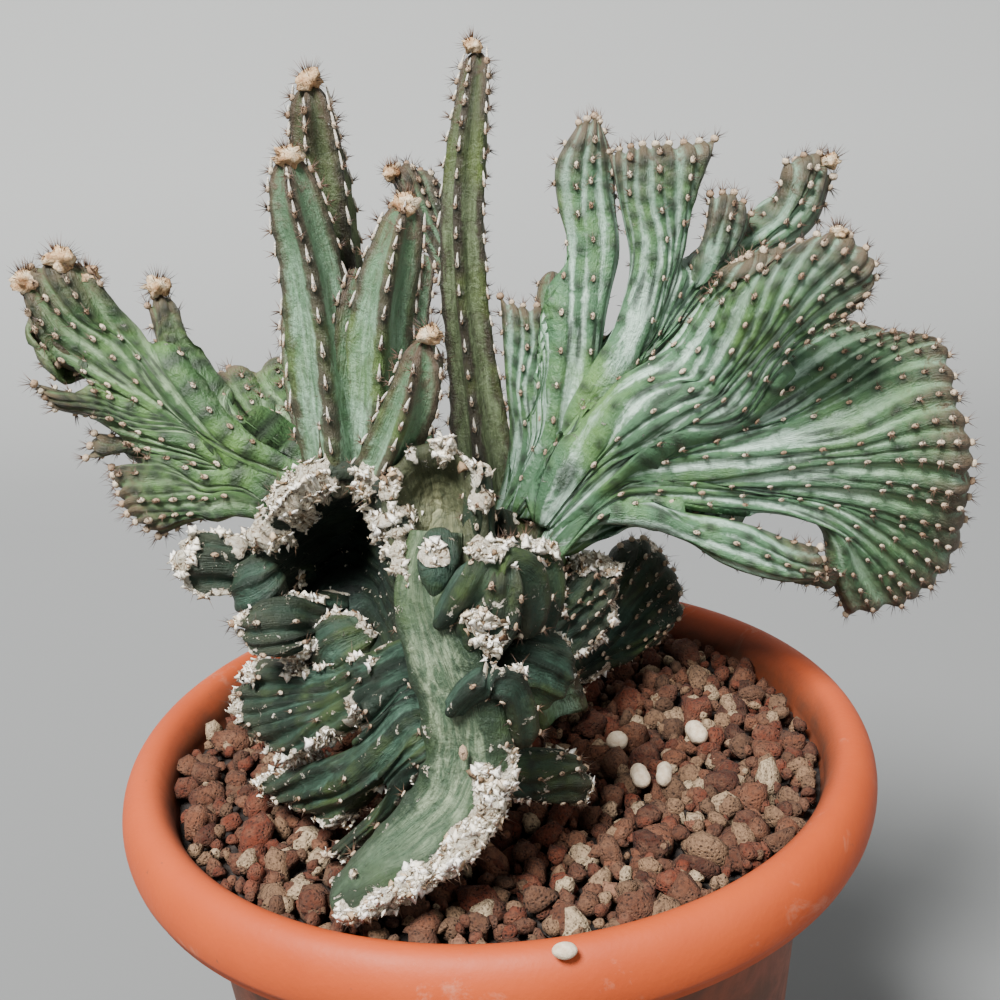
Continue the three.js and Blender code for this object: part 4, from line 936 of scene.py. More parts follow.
right_fan = lobe_sheet(
    "right_fan", [(10, 3, 150), (12, 3, 153), (12, 4, 156), (9, 4, 158), (6, 4, 158)], (6, 4.4, 3), [
    lobe_plan(3, 5, 0, [
        [(21, 2, 157), (30, 1, 156), (37, 0, 153), (43, -2, 149), (54, -2, 145), (61, -2, 145)],
        [(22, 2, 158), (30, 1, 158), (38, 0, 155), (45, -2, 153), (55, -2, 149), (61, -2, 147)],
        [(23, 3, 159), (31, 2, 159), (39, 1, 158), (48, -1, 156), (54, -2, 153), (60, -2, 151)]]),
    lobe_plan(14, 22, 0.55, [
        [(24, 4, 160), (33, 4, 160), (48, 4, 157), (56, 4, 156), (62, 4, 152), (64, 5, 143), (68, 8, 133)],
        [(24, 4, 162), (34, 4, 162), (51, 4, 159), (62, 4, 155), (71, 6, 147), (80, 9, 135)],
        [(24, 4, 164), (35, 4, 164), (54, 4, 161), (66, 4, 158), (78, 5, 151), (87, 7, 143)],
        [(25, 4, 165), (36, 4, 166), (54, 3, 164), (67, 2, 162), (79, 1, 160), (87, 0, 158)],
        [(25, 4, 166), (37, 3, 168), (55, 2, 168), (67, 1, 168), (79, -2, 169), (86, -4, 168)],
        [(25, 4, 167), (36, 3, 170), (54, 2, 171), (66, 1, 173), (77, 0, 177), (84, 0, 177)],
        [(25, 4, 168), (35, 3, 172), (52, 3, 174), (64, 4, 178), (74, 5, 183), (83, 6, 185)],
        [(24, 4, 169), (34, 4, 173), (49, 3, 177), (58, 5, 181), (67, 7, 185), (75, 8, 187)],
        [(24, 4, 170), (34, 4, 173), (46, 4, 179), (53, 7, 183), (61, 10, 187), (66, 11, 189)]]),
    lobe_plan(8, 15, 0.8, [
        [(25, 2, 168), (34, 1, 174.5), (46, 1, 178), (52, -3, 186), (59, -8, 193), (64, -10, 196)],
        [(24, 2, 169.3), (33, 1, 176), (44, 0, 180), (50, -5, 190), (57, -10, 198), (66, -12, 203)],
        [(22.8, 2, 170.6), (31.5, 0, 177.5), (42, 0, 182), (48, -6, 192), (53, -11, 201), (60, -12, 209)],
        [(21.6, 2, 171.8), (30, 0, 179), (40, 0, 184), (45, -5, 192), (48, -9, 200), (53, -10, 207)],
        [(20.4, 2, 173), (28, 1.6, 180.2), (38, 1.5, 186.6), (43, -2, 195), (45, -5, 200), (46, -8, 205)],
        [(19.8, 3.2, 173.4), (27.6, 3.6, 180.6), (36.6, 5, 187.5), (42, 4, 193.5), (44, 0, 198.5),
         (44.5, -3, 203)]]),
    lobe_plan(3, 5, 0.3, [
        [(20, 4, 173), (27, 5, 180), (36, 8, 188), (43, 11, 195), (53, 13, 200), (62, 14, 206),
         (65, 14, 214)],
        [(19, 5, 173.5), (26, 6.5, 181), (35, 9, 189), (41, 12, 197), (52, 14, 204), (59, 14, 211),
         (63, 14, 218)],
        [(18, 5, 174), (25, 7, 182), (34, 9, 191), (40, 11, 199), (47, 12, 205), (55, 13, 210),
         (57, 13, 217)]]),
    lobe_plan(6, 9, 0.72, [
        [(17, 5, 174), (24, 6, 182), (32, 8, 192), (38, 9, 203), (40, 10, 212), (44, 11, 222)],
        [(16, 5, 174), (23, 6, 182), (31, 7, 193), (35, 8, 205), (36, 8, 215), (37, 9, 222)],
        [(15.4, 5, 174), (22, 5, 182), (29, 6, 193), (32, 7, 206), (31, 8, 215), (31, 9, 222)],
        [(14.8, 5, 174), (20, 6, 181), (25, 7, 189), (28, 8, 196), (29, 8, 203), (28, 9, 211),
         (26, 10, 221)]])],
    rows=78, pitch=7.4, dense=0.36, seed=11)
horn_and_saddle = lobe_sheet("horn_and_saddle", [(8, 4, 157), (6, 5, 158), (2, 6, 157)], (6, 4.4, 3), [
    lobe_plan(3, 5, 0, [
        [(18, 7, 171), (22, 8, 179), (23, 9, 187), (25, 10, 197), (27, 11, 204), (27, 12, 211),
         (27, 12, 220), (25, 12, 226)],
        [(15, 7, 171), (19, 8, 181), (21, 9, 194), (23, 10, 205), (23, 12, 216), (24, 12, 227)],
        [(13, 7, 172), (15, 8, 182), (17, 9, 193), (19, 11, 204), (17, 12, 213), (17, 12, 220),
         (21, 12, 226)]]),
    lobe_plan(3, 5, 0.72, [
        [(11, 8, 171), (13, 9, 182), (14, 11, 190), (15, 12, 195)],
        [(9, 8, 172), (9, 10, 182), (10, 11, 190), (10, 12, 195)],
        [(6, 8, 172), (6, 10, 182), (6, 11, 191), (6, 12, 197)]])], rows=60, pitch=6.4, dense=0.5, seed=12)
second_comb = lobe_sheet("second_comb", [(41, 10, 198), (38, 9, 197)], (3.6, 3.2, 2.6), [
    lobe_plan(3, 5, 0, [
        [(43, 10, 201), (48, 10, 205), (50, 10, 209)],
        [(41, 9, 201), (45, 9, 207), (47, 9, 213)],
        [(39, 8, 200), (42, 9, 207), (43, 9, 213)]])], rows=30, pitch=4.5, seed=13)
join_cactus(fan_skin, right_fan, horn_and_saddle, second_comb)

# Left fan
# A smaller crest on the other side: short lobes lie almost edge to edge and roll back at the rim,
# from a low lobe over the gravel up to the dark knobs by the spears.

left_fan = lobe_sheet(
    "left_fan", [(-30, -13, 166), (-29, -14, 169), (-27, -14, 172), (-25, -13, 174), (-22, -12, 174)],
    (5, 4, 2.8), [
    lobe_plan(4, 9, 0, [
        [(-38, -12, 170), (-44, -11, 168), (-48, -13, 168), (-53, -16, 167)],
        [(-38, -13, 172), (-45, -12, 171), (-51, -14, 171), (-57, -17, 171)],
        [(-38, -13, 174), (-46, -12, 174), (-53, -14, 175), (-59, -15, 175)],
        [(-38, -13, 175), (-46, -12, 176), (-54, -12, 178), (-60, -12, 178)]]),
    lobe_plan(2, 3, 0.86, [
        [(-39, -12, 176), (-47, -11, 178), (-56, -10, 180), (-64, -12, 180)],
        [(-39, -12, 177), (-48, -11, 180), (-57, -10, 182), (-62, -12, 184)]]),
    lobe_plan(3, 5, 0.9, [
        [(-40, -12, 178), (-48, -11, 182), (-58, -10, 185), (-67, -14, 189)],
        [(-40, -12, 179), (-49, -10, 184), (-60, -10, 189), (-69, -16, 194)]]),
    lobe_plan(6, 9, 0.88, [
        [(-40, -11, 179), (-50, -9, 185), (-60, -8, 191), (-67, -9, 195)],
        [(-41, -11, 180), (-51, -9, 187), (-61, -8, 194), (-68, -8, 199), (-71, -8, 207)],
        [(-41, -11, 181), (-50, -9, 189), (-60, -8, 198), (-65, -8, 204), (-69, -8, 211)],
        [(-41, -11, 182), (-50, -9, 191), (-57, -7, 199), (-61, -8, 205), (-64, -8, 212)],
        [(-41, -11, 183), (-48, -9, 192), (-55, -6, 199), (-58, -6, 203), (-60, -6, 208)]]),
    lobe_plan(3, 5, 0.72, [
        [(-40, -10, 183), (-47, -8, 190), (-51, -6, 196), (-52, -6, 203)],
        [(-40, -10, 184), (-45, -8, 190), (-49, -6, 196), (-50, -5, 205)],
        [(-39, -10, 184), (-44, -8, 188), (-47, -5, 193), (-48, -4, 201)]]),
    lobe_plan(5, 9, 0.45, [
        [(-32, -9, 177), (-37, -6, 181), (-41, -3, 184), (-44, 0, 188)],
        [(-30, -9, 178), (-35, -6, 182), (-38, -3, 186), (-41, 0, 190)],
        [(-29, -9, 178), (-33, -6, 182), (-36, -3, 184), (-37, 0, 185)],
        [(-27, -9, 178), (-30, -6, 182), (-32, -3, 186), (-34, 2, 190)],
        [(-26, -9, 178), (-28, -6, 181), (-30, -3, 184), (-31, 2, 186)]])],
    rows=56, pitch=5.4, dense=0.45, seed=21)
left_skin = waxy_stem(
    "left_fan_skin", crown=(0.035, 0.083, 0.026), furrow=(0.085, 0.155, 0.062), wax=(0.26, 0.36, 0.21),
    young=(0.1, 0.2, 0.045), tip_tone=(0.09, 0.06, 0.035), bloom=(0.3, 0.6))
join_cactus(left_skin, left_fan)

# Spears
# Upright stems that never crested: narrow bodies, most with four or five ribs, each areole with a
# tail of white wool. A six-ribbed body carries the twins in the middle, and a comb stands behind.


furrow_share = 0.62
dome_reach = 4.2


def ribbed_stem(name, ribs, radii, path, rows=90, per_rib=12, pitch=5.0, tail=0.0, cork=(0.0, 0.0),
                first_turn=0.0, depth_share=1.0, sharp=1.15, bark=None, seed=1):
    """A star-shaped section carried along the woven path. Its radius falls from the rib's crown
    to the furrow's share of it as a raised cosine to the power sharp, and follows a dome at the
    tip. Cork stands on it within a ragged distance of the tip, and where its side faces the
    bark's way by more than the bark's cosine, past the bark's share of the length."""
    shares = row_shares(rows)
    draw = np.random.default_rng(seed + 100)
    axis, length = along_curve(path, shares)
    ahead_way = unit(np.gradient(axis, axis=0))
    side = unit(np.array([1.0, 0, 0]) - ahead_way * ahead_way[:, :1])
    depth = np.cross(ahead_way, side)
    around = ribs * per_rib
    turn = 2 * np.pi * np.arange(around) / around
    twist = first_turn + 0.12 * np.sin(shares * 5 + seed)[:, None]
    spots = [areole_shares(length, 0.08, pitch, 0.5, draw) for _ in range(ribs)]
    close = near_areoles(shares, spots, length)
    from_rib = (turn * ribs / (2 * np.pi) + 0.5) % 1 - 0.5
    nearest = np.round(turn * ribs / (2 * np.pi)).astype(int) % ribs
    halo = close[:, nearest] * np.exp(-(from_rib / 0.13) ** 2)
    height = np.tile((0.5 + 0.5 * np.cos(turn * ribs)) ** sharp, (rows, 1)) + 0.16 * halo
    dome = quarter_round((1 - shares) * length, dome_reach)[:, None]
    size = np.interp(shares, np.linspace(0, 1, len(radii)), radii)[:, None]
    way = (side[:, None] * np.cos(turn + twist)[..., None]
           + depth[:, None] * (depth_share * np.sin(turn + twist))[..., None])
    at = axis[:, None] + way * (size * (furrow_share + (1 - furrow_share) * height) * dome)[..., None]
    to_tip = np.tile((1 - shares)[:, None] * length, (1, around))
    ragged = lumps(at, 2.2, seed + 3)
    crust = smooth_step(cork[0] * (0.8 + 1.3 * ragged) - to_tip - 2.5 * (1 - height), 0, 0.9) * (cork[0] > 0)
    if bark:
        facing = unit(way) @ unit(np.array(bark[0], float))
        begun = smooth_step(shares[:, None] + 0.06 * ragged, bark[2], bark[2] + 0.05)
        crust = np.maximum(crust, smooth_step(facing - bark[1] + 0.28 * ragged, 0, 0.12) * begun)
    flakes = crust * cork[1] * np.maximum(0.1, 0.7 + 0.8 * lumps(at, 0.9, seed + 21))
    at = at + way * ((0.25 * lumps(at, 6, seed) + 0.1 * lumps(at, 2.2, seed + 5)) * dome + flakes)[..., None]
    points = np.concatenate([at.reshape(-1, 3), axis[:1], at[-1:].mean(axis=1)])
    index = np.arange(rows * around).reshape(rows, around)
    foot = pole_faces(index.size, index[0], outward=False)
    cap = pole_faces(index.size + 1, index[-1])
    tip = 0.8 * np.exp(-(to_tip / 7) ** 1.3) + 0.2 * np.exp(-(to_tip / 24) ** 2)
    # The third channel holds the mark round each areole, painted as shade on the skin.
    growth = np.stack([np.clip(height, 0, 1), tip, 0.8 * halo, crust], -1).reshape(-1, 4)
    growth = np.concatenate([growth, growth[:1], growth[-1:]])
    flow = np.stack([np.tile(shares[:, None] * length, (1, around)), np.tile(turn * 1.6, (rows, 1))], -1)
    flow = flow.reshape(-1, 2)
    flow = np.concatenate([flow, flow[:1], flow[-1:]])
    piece = put_mesh(name, points, [grid_faces(rows, around, closed=True), foot, cap], tint=growth, flow=flow)
    keep_cork(at, way, crust, draw)
    row_number = np.arange(rows)
    for rib, share in enumerate(spots):
        row = np.interp(share, shares, row_number)
        column = np.full(len(row), float(rib * per_rib))
        clear = read_grid(crust, row, column) < 0.4
        if clear.any():
            row, column, share = row[clear], column[clear], share[clear]
            out = read_grid(way, row, column)
            up = np.stack([np.interp(row, row_number, ahead_way[:, k]) for k in range(3)], 1)
            keep_areoles(read_grid(at, row, column), out + 0.2 * up, up,
                         draw.uniform(0.85, 1.1, len(row)), share, tail)
    return piece


spear_skin = waxy_stem(
    "waxy_spear_skin", crown=(0.05, 0.045, 0.026), furrow=(0.085, 0.17, 0.085), wax=(0.28, 0.43, 0.3),
    young=(0.09, 0.16, 0.04), tip_tone=(0.085, 0.055, 0.034), bloom=(0.36, 0.66))
olive_skin = waxy_stem(
    "olive_spear_skin", crown=(0.032, 0.026, 0.015), furrow=(0.05, 0.068, 0.026), wax=(0.14, 0.18, 0.09),
    young=(0.075, 0.11, 0.022), tip_tone=(0.06, 0.04, 0.024), bloom=(0.36, 0.66))
back_comb = lobe_sheet("back_comb", [(0, 15, 181), (2, 15, 184)], (4, 3.6, 3), [
    lobe_plan(4, 5, 0, [
        [(-4, 20, 198), (-9, 22, 210), (-12, 22, 219)],
        [(-2, 21, 201), (-6, 23, 211), (-9, 24, 220)],
        [(0, 21, 202), (-2, 24, 211), (-4, 26, 216)]])], rows=56, pitch=5.0, seed=32)
join_cactus(spear_skin, back_comb)
for stem_name, stem_ribs, stem_radii, stem_path, stem_tail in (
    ("twin_left", 4, (7, 6.2, 5.6, 5.0, 4.4, 2.6),
     [(-20.5, -21, 176), (-21.5, -21.5, 184), (-22.2, -22, 200), (-22.8, -22, 213), (-23.7, -22.5, 220),
      (-24.2, -23, 228)], 0.9),
    ("twin_body", 6, (6.5, 7.6, 8.6, 7.8, 5.2, 2.2),
     [(-20.5, -20.5, 175), (-19.5, -20.5, 186), (-18.4, -20.5, 197), (-17, -20.5, 205), (-16, -20.5, 210)],
     0.7),
    ("twin_right", 4, (6.4, 6, 5.4, 4.8, 4.2, 2.6),
     [(-17, -21, 176), (-15.5, -22, 184), (-13.6, -22.5, 198), (-11.6, -23, 206), (-9.4, -23, 213),
      (-7.2, -23, 220)], 0.9),
    ("tall", 5, (7, 6, 4.6, 4.3, 3.8, 2.6),
     [(3, 6, 153), (1, 12, 175), (0, 14, 197), (1, 15, 216), (3, 16, 229), (5, 18, 239)], 0.9),
    ("behind", 5, (6.4, 5.9, 5.5, 5.0, 2.9),
     [(-21, -16, 174), (-20, -12, 197), (-21, -11, 213), (-21, -12, 226), (-21, -13, 237)], 1.0),
    ("stub", 5, (5, 4.4, 4, 3),
     [(-16, -26, 176), (-11, -29, 186), (-7, -32, 195), (-6, -33, 201)], 0.7),
    ("side", 4, (4, 3, 2),
     [(-25, -13, 174), (-28, -7, 190), (-29, -4, 202)], 0.6),
    ("limbend", 4, (3, 2.6),
     [(56, -1, 147), (65, 4, 142)], 0.0),
    ("knobstalk", 4, (2.2, 2.2, 2.6),
     [(15, 13, 190), (15, 17, 195), (16, 19, 200)], 0.0),
    ("backfinger", 4, (4, 2.8, 2.5, 2.2),
     [(-6, 3, 155), (-11, 8, 180), (-9, 14, 196), (-7, 17, 205)], 0.5),
    ("trunk", 5, (9, 8.5, 7.5, 6.4, 5.4, 3.6),
     [(10, 8, 117), (9, 8, 122), (8, 6, 135), (9.5, 4, 147), (10.5, 4.5, 156), (11.5, 5, 163)], 0.0)):
    stem = ribbed_stem(stem_name + "_stem", stem_ribs, stem_radii, stem_path, tail=stem_tail,
                       first_turn=math.pi, sharp=1.7 if stem_ribs < 5 else 1.3,
                       depth_share=0.68 if stem_name == "twin_body" else 1.0, seed=40 + len(stem_name))
    join_cactus(olive_skin if stem_name in ("tall", "behind") else spear_skin, stem)

# Front growth
# The oldest stem stands in front: a blue-green limb with a sharp left edge that comes down from an
# open hood and turns over the gravel as a foot. White flaking cork covers its hood, crests and sole.

old_skin = waxy_stem(
    "old_stem_skin", crown=(0.006, 0.015, 0.008), furrow=(0.015, 0.037, 0.023), wax=(0.07, 0.14, 0.095),
    young=(0.06, 0.095, 0.025), tip_tone=(0.03, 0.035, 0.018), dirt=0.6, bloom=(0.4, 0.75))
limb_skin = waxy_stem(
    "front_limb_skin", crown=(0.014, 0.028, 0.013), furrow=(0.05, 0.084, 0.046), wax=(0.28, 0.34, 0.21),
    young=(0.045, 0.075, 0.025), tip_tone=(0.02, 0.03, 0.015), dirt=0.6, bloom=(0.42, 0.74))
hood_skin = waxy_stem(
    "hood_skin", crown=(0.014, 0.022, 0.01), furrow=(0.055, 0.064, 0.03), wax=(0.24, 0.24, 0.13),
    young=(0.09, 0.1, 0.04), tip_tone=(0.03, 0.03, 0.015), dirt=0.6, bloom=(0.35, 0.7))


rim_reach = 2.6


def cup_lobe(name, rim, centre, thick, ribs=0, wrinkle=0.0, cork=(0.0, 0.0), cork_above=-999.0, patches=(),
             rings=34, around=120, felt_at=(), seed=1):
    """A hollow or swollen lobe inside a closed rim. Its middle runs from the rim's mean towards
    the rim in proportion, and is pushed to the centre point by 1 minus the square of that
    proportion. Both faces stand half the thickness off it, which falls as a quarter circle at
    the rim. Straight ribs run towards the rim's first point, or wrinkles run round the lobe. Cork
    stands on it near the rim above a height, and round patches (way round, way out, radius)."""
    knots = np.concatenate([rim[-2:], rim, rim[:3]]).astype(float)
    turn_share = np.arange(around) / around
    loop = weave(knots, 2 + len(rim) * turn_share)
    mouth = loop.mean(axis=0)
    out_share = np.linspace(0, 1, rings + 1)[1:] ** 0.85
    middle = (mouth + (loop[None] - mouth) * out_share[:, None, None]
              + (np.asarray(centre, float) - mouth) * (1 - out_share[:, None, None] ** 2))
    reach = np.linalg.norm(loop - mouth, axis=1).mean()
    to_rim = np.tile(((1 - out_share) * reach)[:, None], (1, around))
    wound = np.concatenate([middle[:, -1:], middle, middle[:, :1]], axis=1)
    outward, round_way = np.gradient(middle, axis=0), (wound[:, 2:] - wound[:, :-2]) * 0.5
    normal = unit(np.cross(outward, round_way))
    edge = quarter_round(to_rim, rim_reach)
    lengthwise = unit(loop[0] - mouth)
    crosswise = unit(np.cross(normal.mean(axis=(0, 1)), lengthwise))
    along = (middle - mouth) @ lengthwise
    across = (middle - mouth) @ crosswise + 1.2 * lumps(middle, 9, seed + 6)
    height = 0.2 + 0.8 * (0.5 + 0.5 * np.cos(np.pi * ribs * across / reach)) ** 1.6 if ribs else \
        0.3 + 0.08 * np.cos(to_rim * 3.6 + 5.0 * lumps(middle, 5, seed))
    ragged = lumps(middle, 2.2, seed + 3)
    below = np.maximum(0, cork_above - middle[..., 2])
    crust = smooth_step(cork[0] * (0.8 + 1.4 * ragged) - to_rim - below, 0, 0.9) * (cork[0] > 0)
    for patch_turn, patch_out, patch_radius in patches:
        spot = middle[int(patch_out * (rings - 1)), int(patch_turn * around) % around]
        away = np.linalg.norm(middle - spot, axis=2)
        crust = np.maximum(crust, smooth_step(patch_radius * (1 + 0.6 * ragged) - away, 0, 0.8))
    flakes = crust_height(middle, crust, cork[1], seed)
    relief = (0.9 if ribs else 3.5 * wrinkle) * (height - 0.3) + 0.35 * lumps(middle, 4, seed + 5)
    relief = relief + 0.2 * lumps(middle, 1.8, seed + 7)
    out = (thick + relief) * edge + flakes * (0.4 + 0.6 * edge)
    rolled, front, back = both_faces(middle, normal, outward, out, flakes, edge)
    back[-1] = front[-1] = rolled[-1]
    points = np.concatenate([front.reshape(-1, 3), back[:-1].reshape(-1, 3),
                             [front[0].mean(axis=0)], [back[0].mean(axis=0)]])
    front_index = np.arange(rings * around).reshape(rings, around)
    back_index = front_index + front_index.size
    back_index[-1] = front_index[-1]
    back_after = np.roll(back_index, -1, axis=1)
    back_quads = np.stack([back_index[:-1], back_after[:-1], back_after[1:], back_index[1:]], -1)
    front_quads = grid_faces(rings, around, closed=True)[:, ::-1]
    pole = len(points) - 2
    caps = np.concatenate([
        pole_faces(pole, front_index[0]), pole_faces(pole + 1, back_index[0], outward=False)])
    tip = np.clip(0.7 * np.exp(-to_rim / 2.5), 0, 1)
    growth = np.stack([height, tip, 0 * tip, crust], -1)
    growth = np.concatenate([growth.reshape(-1, 4), growth[:-1].reshape(-1, 4), growth[:1, 0], growth[:1, 0]])
    flow = np.stack([along, across / 2.4], -1)
    flow = np.concatenate([flow.reshape(-1, 2), flow[:-1].reshape(-1, 2), flow[:1, 0], flow[:1, 0]])
    piece = put_mesh(name, points, [front_quads, back_quads.reshape(-1, 4), caps], tint=growth, flow=flow)
    keep_cork(front, normal + unit(outward) * (1 - edge)[..., None], crust, np.random.default_rng(seed))
    keep_cork(back, unit(outward) * (1 - edge)[..., None] - normal, crust, np.random.default_rng(seed + 1))
    if len(felt_at):
        felt_turn, felt_out = (np.array(part) for part in zip(*felt_at))
        row, column = felt_out * (rings - 1), felt_turn * (around - 1)
        keep_areoles(read_grid(front, row, column), read_grid(normal, row, column),
                     read_grid(outward, row, column), size=1.15, share=0.5, tail=0)
    return piece


front_stem = ribbed_stem("front_stem", 3, (4.5, 6.6, 8.0, 7.8, 7.8, 7.4, 6.2, 3.2), [
    (-6, -36, 172), (-7, -39, 164), (-5, -42, 156), (-3, -44, 147), (-3, -45, 138), (-6.5, -47, 130),
    (-14, -50, 124), (-26, -55, 119)],
    rows=110, per_rib=40, pitch=9.0, first_turn=math.pi, depth_share=0.72,
    bark=((0.85, 0.0, -0.6), -0.02, 0.5), cork=(5.0, 1.3), seed=52)
hood = cup_lobe("hood", [
    (-5, -34, 185), (-1.5, -34, 183), (0.5, -35, 179), (1, -36, 173), (0, -38, 168), (-3, -41, 164),
    (-7, -42, 162.5), (-12, -38, 164), (-13.5, -36, 171), (-14, -34, 177), (-12, -33, 181), (-9, -33, 184)],
    (-6, -28.5, 173), 1.7, wrinkle=0.22, cork=(1.3, 1.2), cork_above=174, seed=54)
hood_tongue = cup_lobe("hood_tongue", [
    (-7, -42, 164), (-9, -40.6, 168), (-8.6, -39.3, 171.5), (-7, -38.4, 173.5), (-4.4, -38.4, 173),
    (-3, -39.6, 169.5), (-4.4, -41, 166)],
    (-6.4, -42, 168.5), 1.2, wrinkle=0.12, cork=(0.4, 0.3), patches=((0.45, 0.4, 2.3),), seed=55)
arch_crest = ribbed_stem("arch_crest", 3, (2.6, 3.2, 3.6, 3.4, 3.2, 2.6), [
    (-6, -44, 161), (-4, -45.5, 164), (-1, -46, 168), (2, -44.5, 170), (5.5, -43, 168), (7, -42, 163),
    (6, -42, 156)],
    rows=70, per_rib=24, pitch=9.0, cork=(1.5, 1.2), bark=((0.1, -0.3, 1.0), 0.74, 0.1), seed=56)
back_crest = ribbed_stem("back_crest", 3, (2.4, 2.8, 2.8, 2.4, 2.2), [
    (3, -37, 164), (6, -38, 168.5), (9, -37, 166.5), (10, -37, 161.5), (9, -37, 157), (6, -38, 152)],
    rows=60, per_rib=24, pitch=7.0, cork=(1.0, 1.0), bark=((0.6, -0.2, 1.0), 0.82, 0.1), seed=57)
torn_patch = cup_lobe("torn_patch", [
    (-2.6, -47.8, 162.2), (-0.2, -48.2, 163.8), (1.6, -47.8, 162.4), (3.4, -47, 161.4), (2.2, -47.6, 158.6),
    (0.2, -48, 156.6), (-0.8, -48.2, 159.4)],
    (0.5, -47, 160.5), 0.9, wrinkle=0.3, cork=(6.0, 0.5), seed=58)
disc_lobe = cup_lobe("disc_lobe", [
    (2, -40, 152), (5, -38, 154.5), (9.5, -36, 154), (12.5, -35, 150), (11.5, -36, 145), (8, -38, 143),
    (3, -40, 145)],
    (7, -40, 149), 2.8, ribs=6, cork=(0.8, 0.7), felt_at=((0.3, 0.6), (0.8, 0.5)), seed=59)
pocket_lip = ribbed_stem("pocket_lip", 3, (2.0, 2.6, 2.8, 2.6, 2.2), [
    (-5.5, -47, 147.5), (-3, -48.5, 151), (0, -49, 153), (3, -48, 151.5), (4.5, -46.5, 146),
    (4.5, -45, 139)],
    rows=60, per_rib=24, pitch=8.0, cork=(1.0, 0.9), bark=((0.2, -0.4, 1.0), 0.86, 0.1), seed=60)
bare_areoles = np.array([(-4.4, -49.8, 141.5), (-6.8, -47.5, 136.5)])
bare_out, bare_up = np.array([(0.1, -1.0, 0.4)] * 2), np.array([(0, 0.3, 1.0)] * 2)
keep_areoles(bare_areoles, bare_out, bare_up, size=1.9, share=0.5, tail=0)
ear_lobe = lobe_sheet("ear_lobe", [(0, -34, 152), (2, -34, 151)], (4, 3.4, 2.6), [
    lobe_plan(4, 6, 0, [
        [(1, -35, 160), (3, -36, 169)],
        [(5, -36, 162), (6, -37, 170)],
        [(7, -35, 161), (10, -36, 167)],
        [(6, -34, 158), (10, -34, 160)]])], rows=34, pitch=9.0, cork=(1.0, 0.7), seed=62)
arch_fold = lobe_sheet("arch_fold", [(-5, -42, 155), (0, -42, 153)], (4.2, 3.6, 2.8), [
    lobe_plan(4, 6, 0, [
        [(-4, -43, 162), (-2, -44, 167)],
        [(-1, -44, 162), (2, -45, 170)],
        [(2, -44, 162), (4, -45, 171)],
        [(4, -42, 159), (6, -43, 165)]])], rows=34, pitch=9.0, cork=(0.8, 0.6), seed=63)
toe_lobe = lobe_sheet("toe_lobe", [(-2, -40, 135), (-1, -40, 128)], (4.5, 4, 3), [
    lobe_plan(4, 6, 0, [
        [(3, -36, 134), (10, -32, 131)],
        [(5, -36, 131), (14, -31, 127)],
        [(5, -36, 128), (15, -31, 124)],
        [(5, -35, 125), (11, -30, 121)]])], rows=34, pitch=8.0, cork=(1.5, 0.8), seed=64)
join_cactus(limb_skin, front_stem)
join_cactus(hood_skin, hood)
join_cactus(old_skin, hood_tongue, arch_crest, back_crest, torn_patch, disc_lobe, pocket_lip, ear_lobe,
            arch_fold, toe_lobe)
for stem_name, stem_ribs, stem_radii, stem_path, stem_cork in (
    ("thinfinger", 4, (3, 2.6, 1.8),
     [(0, -34, 155), (0, -34, 171), (1, -34, 182)], (3.5, 0.6)),
    ("button", 4, (3, 2.2),
     [(3, -28, 158), (4, -28, 172)], (2.6, 0.8))):
    stem = ribbed_stem(stem_name + "_stem", stem_ribs, stem_radii, stem_path, rows=50, cork=stem_cork,
                       pitch=6.0, seed=60 + len(stem_name))
    join_cactus(old_skin, stem)

# Hollow and skirt
# Left of the front stem the crest closes round a deep hollow with a corky upper rim; its skin is
# painted near black as painted shade. Two corky ears stand beside it, and a skirt of folds drapes
# from it to the gravel.

hollow = cup_lobe("hollow", [
    (-36.5, -24, 161), (-35.5, -25, 168), (-31, -26, 174.5), (-26, -27, 178.5), (-21, -28.5, 180.5),
    (-17, -30.5, 180), (-14, -33, 178), (-12, -36, 172), (-11.5, -38, 165), (-11.5, -39, 157),
    (-13, -37, 150), (-19, -31, 146), (-27, -26, 146), (-34, -23, 150), (-37.5, -22.5, 155)],
    (-21, -7, 162), 2.2, ribs=11, cork=(2.6, 1.7), cork_above=168, rings=44, around=180,
    felt_at=((0.93, 0.9), (0.86, 0.55)), seed=70)
inner_bulge = cup_lobe("inner_bulge", [
    (-28.5, -22, 146), (-28, -23, 150), (-25, -23.5, 153.5), (-20.5, -25, 153), (-18.5, -26, 149),
    (-22, -25, 145)],
    (-24, -28, 149), 2.2, ribs=5, cork=(1.0, 0.8), cork_above=150, felt_at=((0.3, 0.4),), seed=75)
side_bump = cup_lobe("side_bump", [
    (-40, -20, 157), (-39.5, -21, 162), (-36, -22, 164.5), (-33, -22, 161), (-33.5, -21, 156),
    (-37, -20, 154)],
    (-37, -25.5, 159.5), 2.4, ribs=5, felt_at=((0.2, 0.35),), seed=76)
cork_ear = lobe_sheet("cork_ear", [(-29, -9, 160), (-30, -9, 154)], (4, 3.6, 2.8), [
    lobe_plan(4, 6, 0, [
        [(-36, -17, 164), (-41, -20, 168), (-46, -20, 168)],
        [(-37, -18, 161), (-43, -22, 165), (-49, -22, 165)],
        [(-37, -17, 157), (-42, -20, 159), (-47, -20, 160)]])], rows=36, pitch=9.0, cork=(2.6, 1.2), seed=72)
cheek_lobe = lobe_sheet("cheek_lobe", [(-21, -3, 151), (-20, -4, 142)], (4.5, 4, 2.8), [
    lobe_plan(4, 6, 0, [
        [(-27, -17, 155), (-32, -24, 157), (-36, -26, 158)],
        [(-28, -19, 152), (-33, -27, 156), (-39, -28, 156)],
        [(-28, -20, 149), (-33, -28, 152), (-39, -28, 153)],
        [(-26, -21, 146), (-31, -28, 149), (-36, -28, 150)]])], rows=36, pitch=9.0, cork=(2.2, 1.2), seed=73)
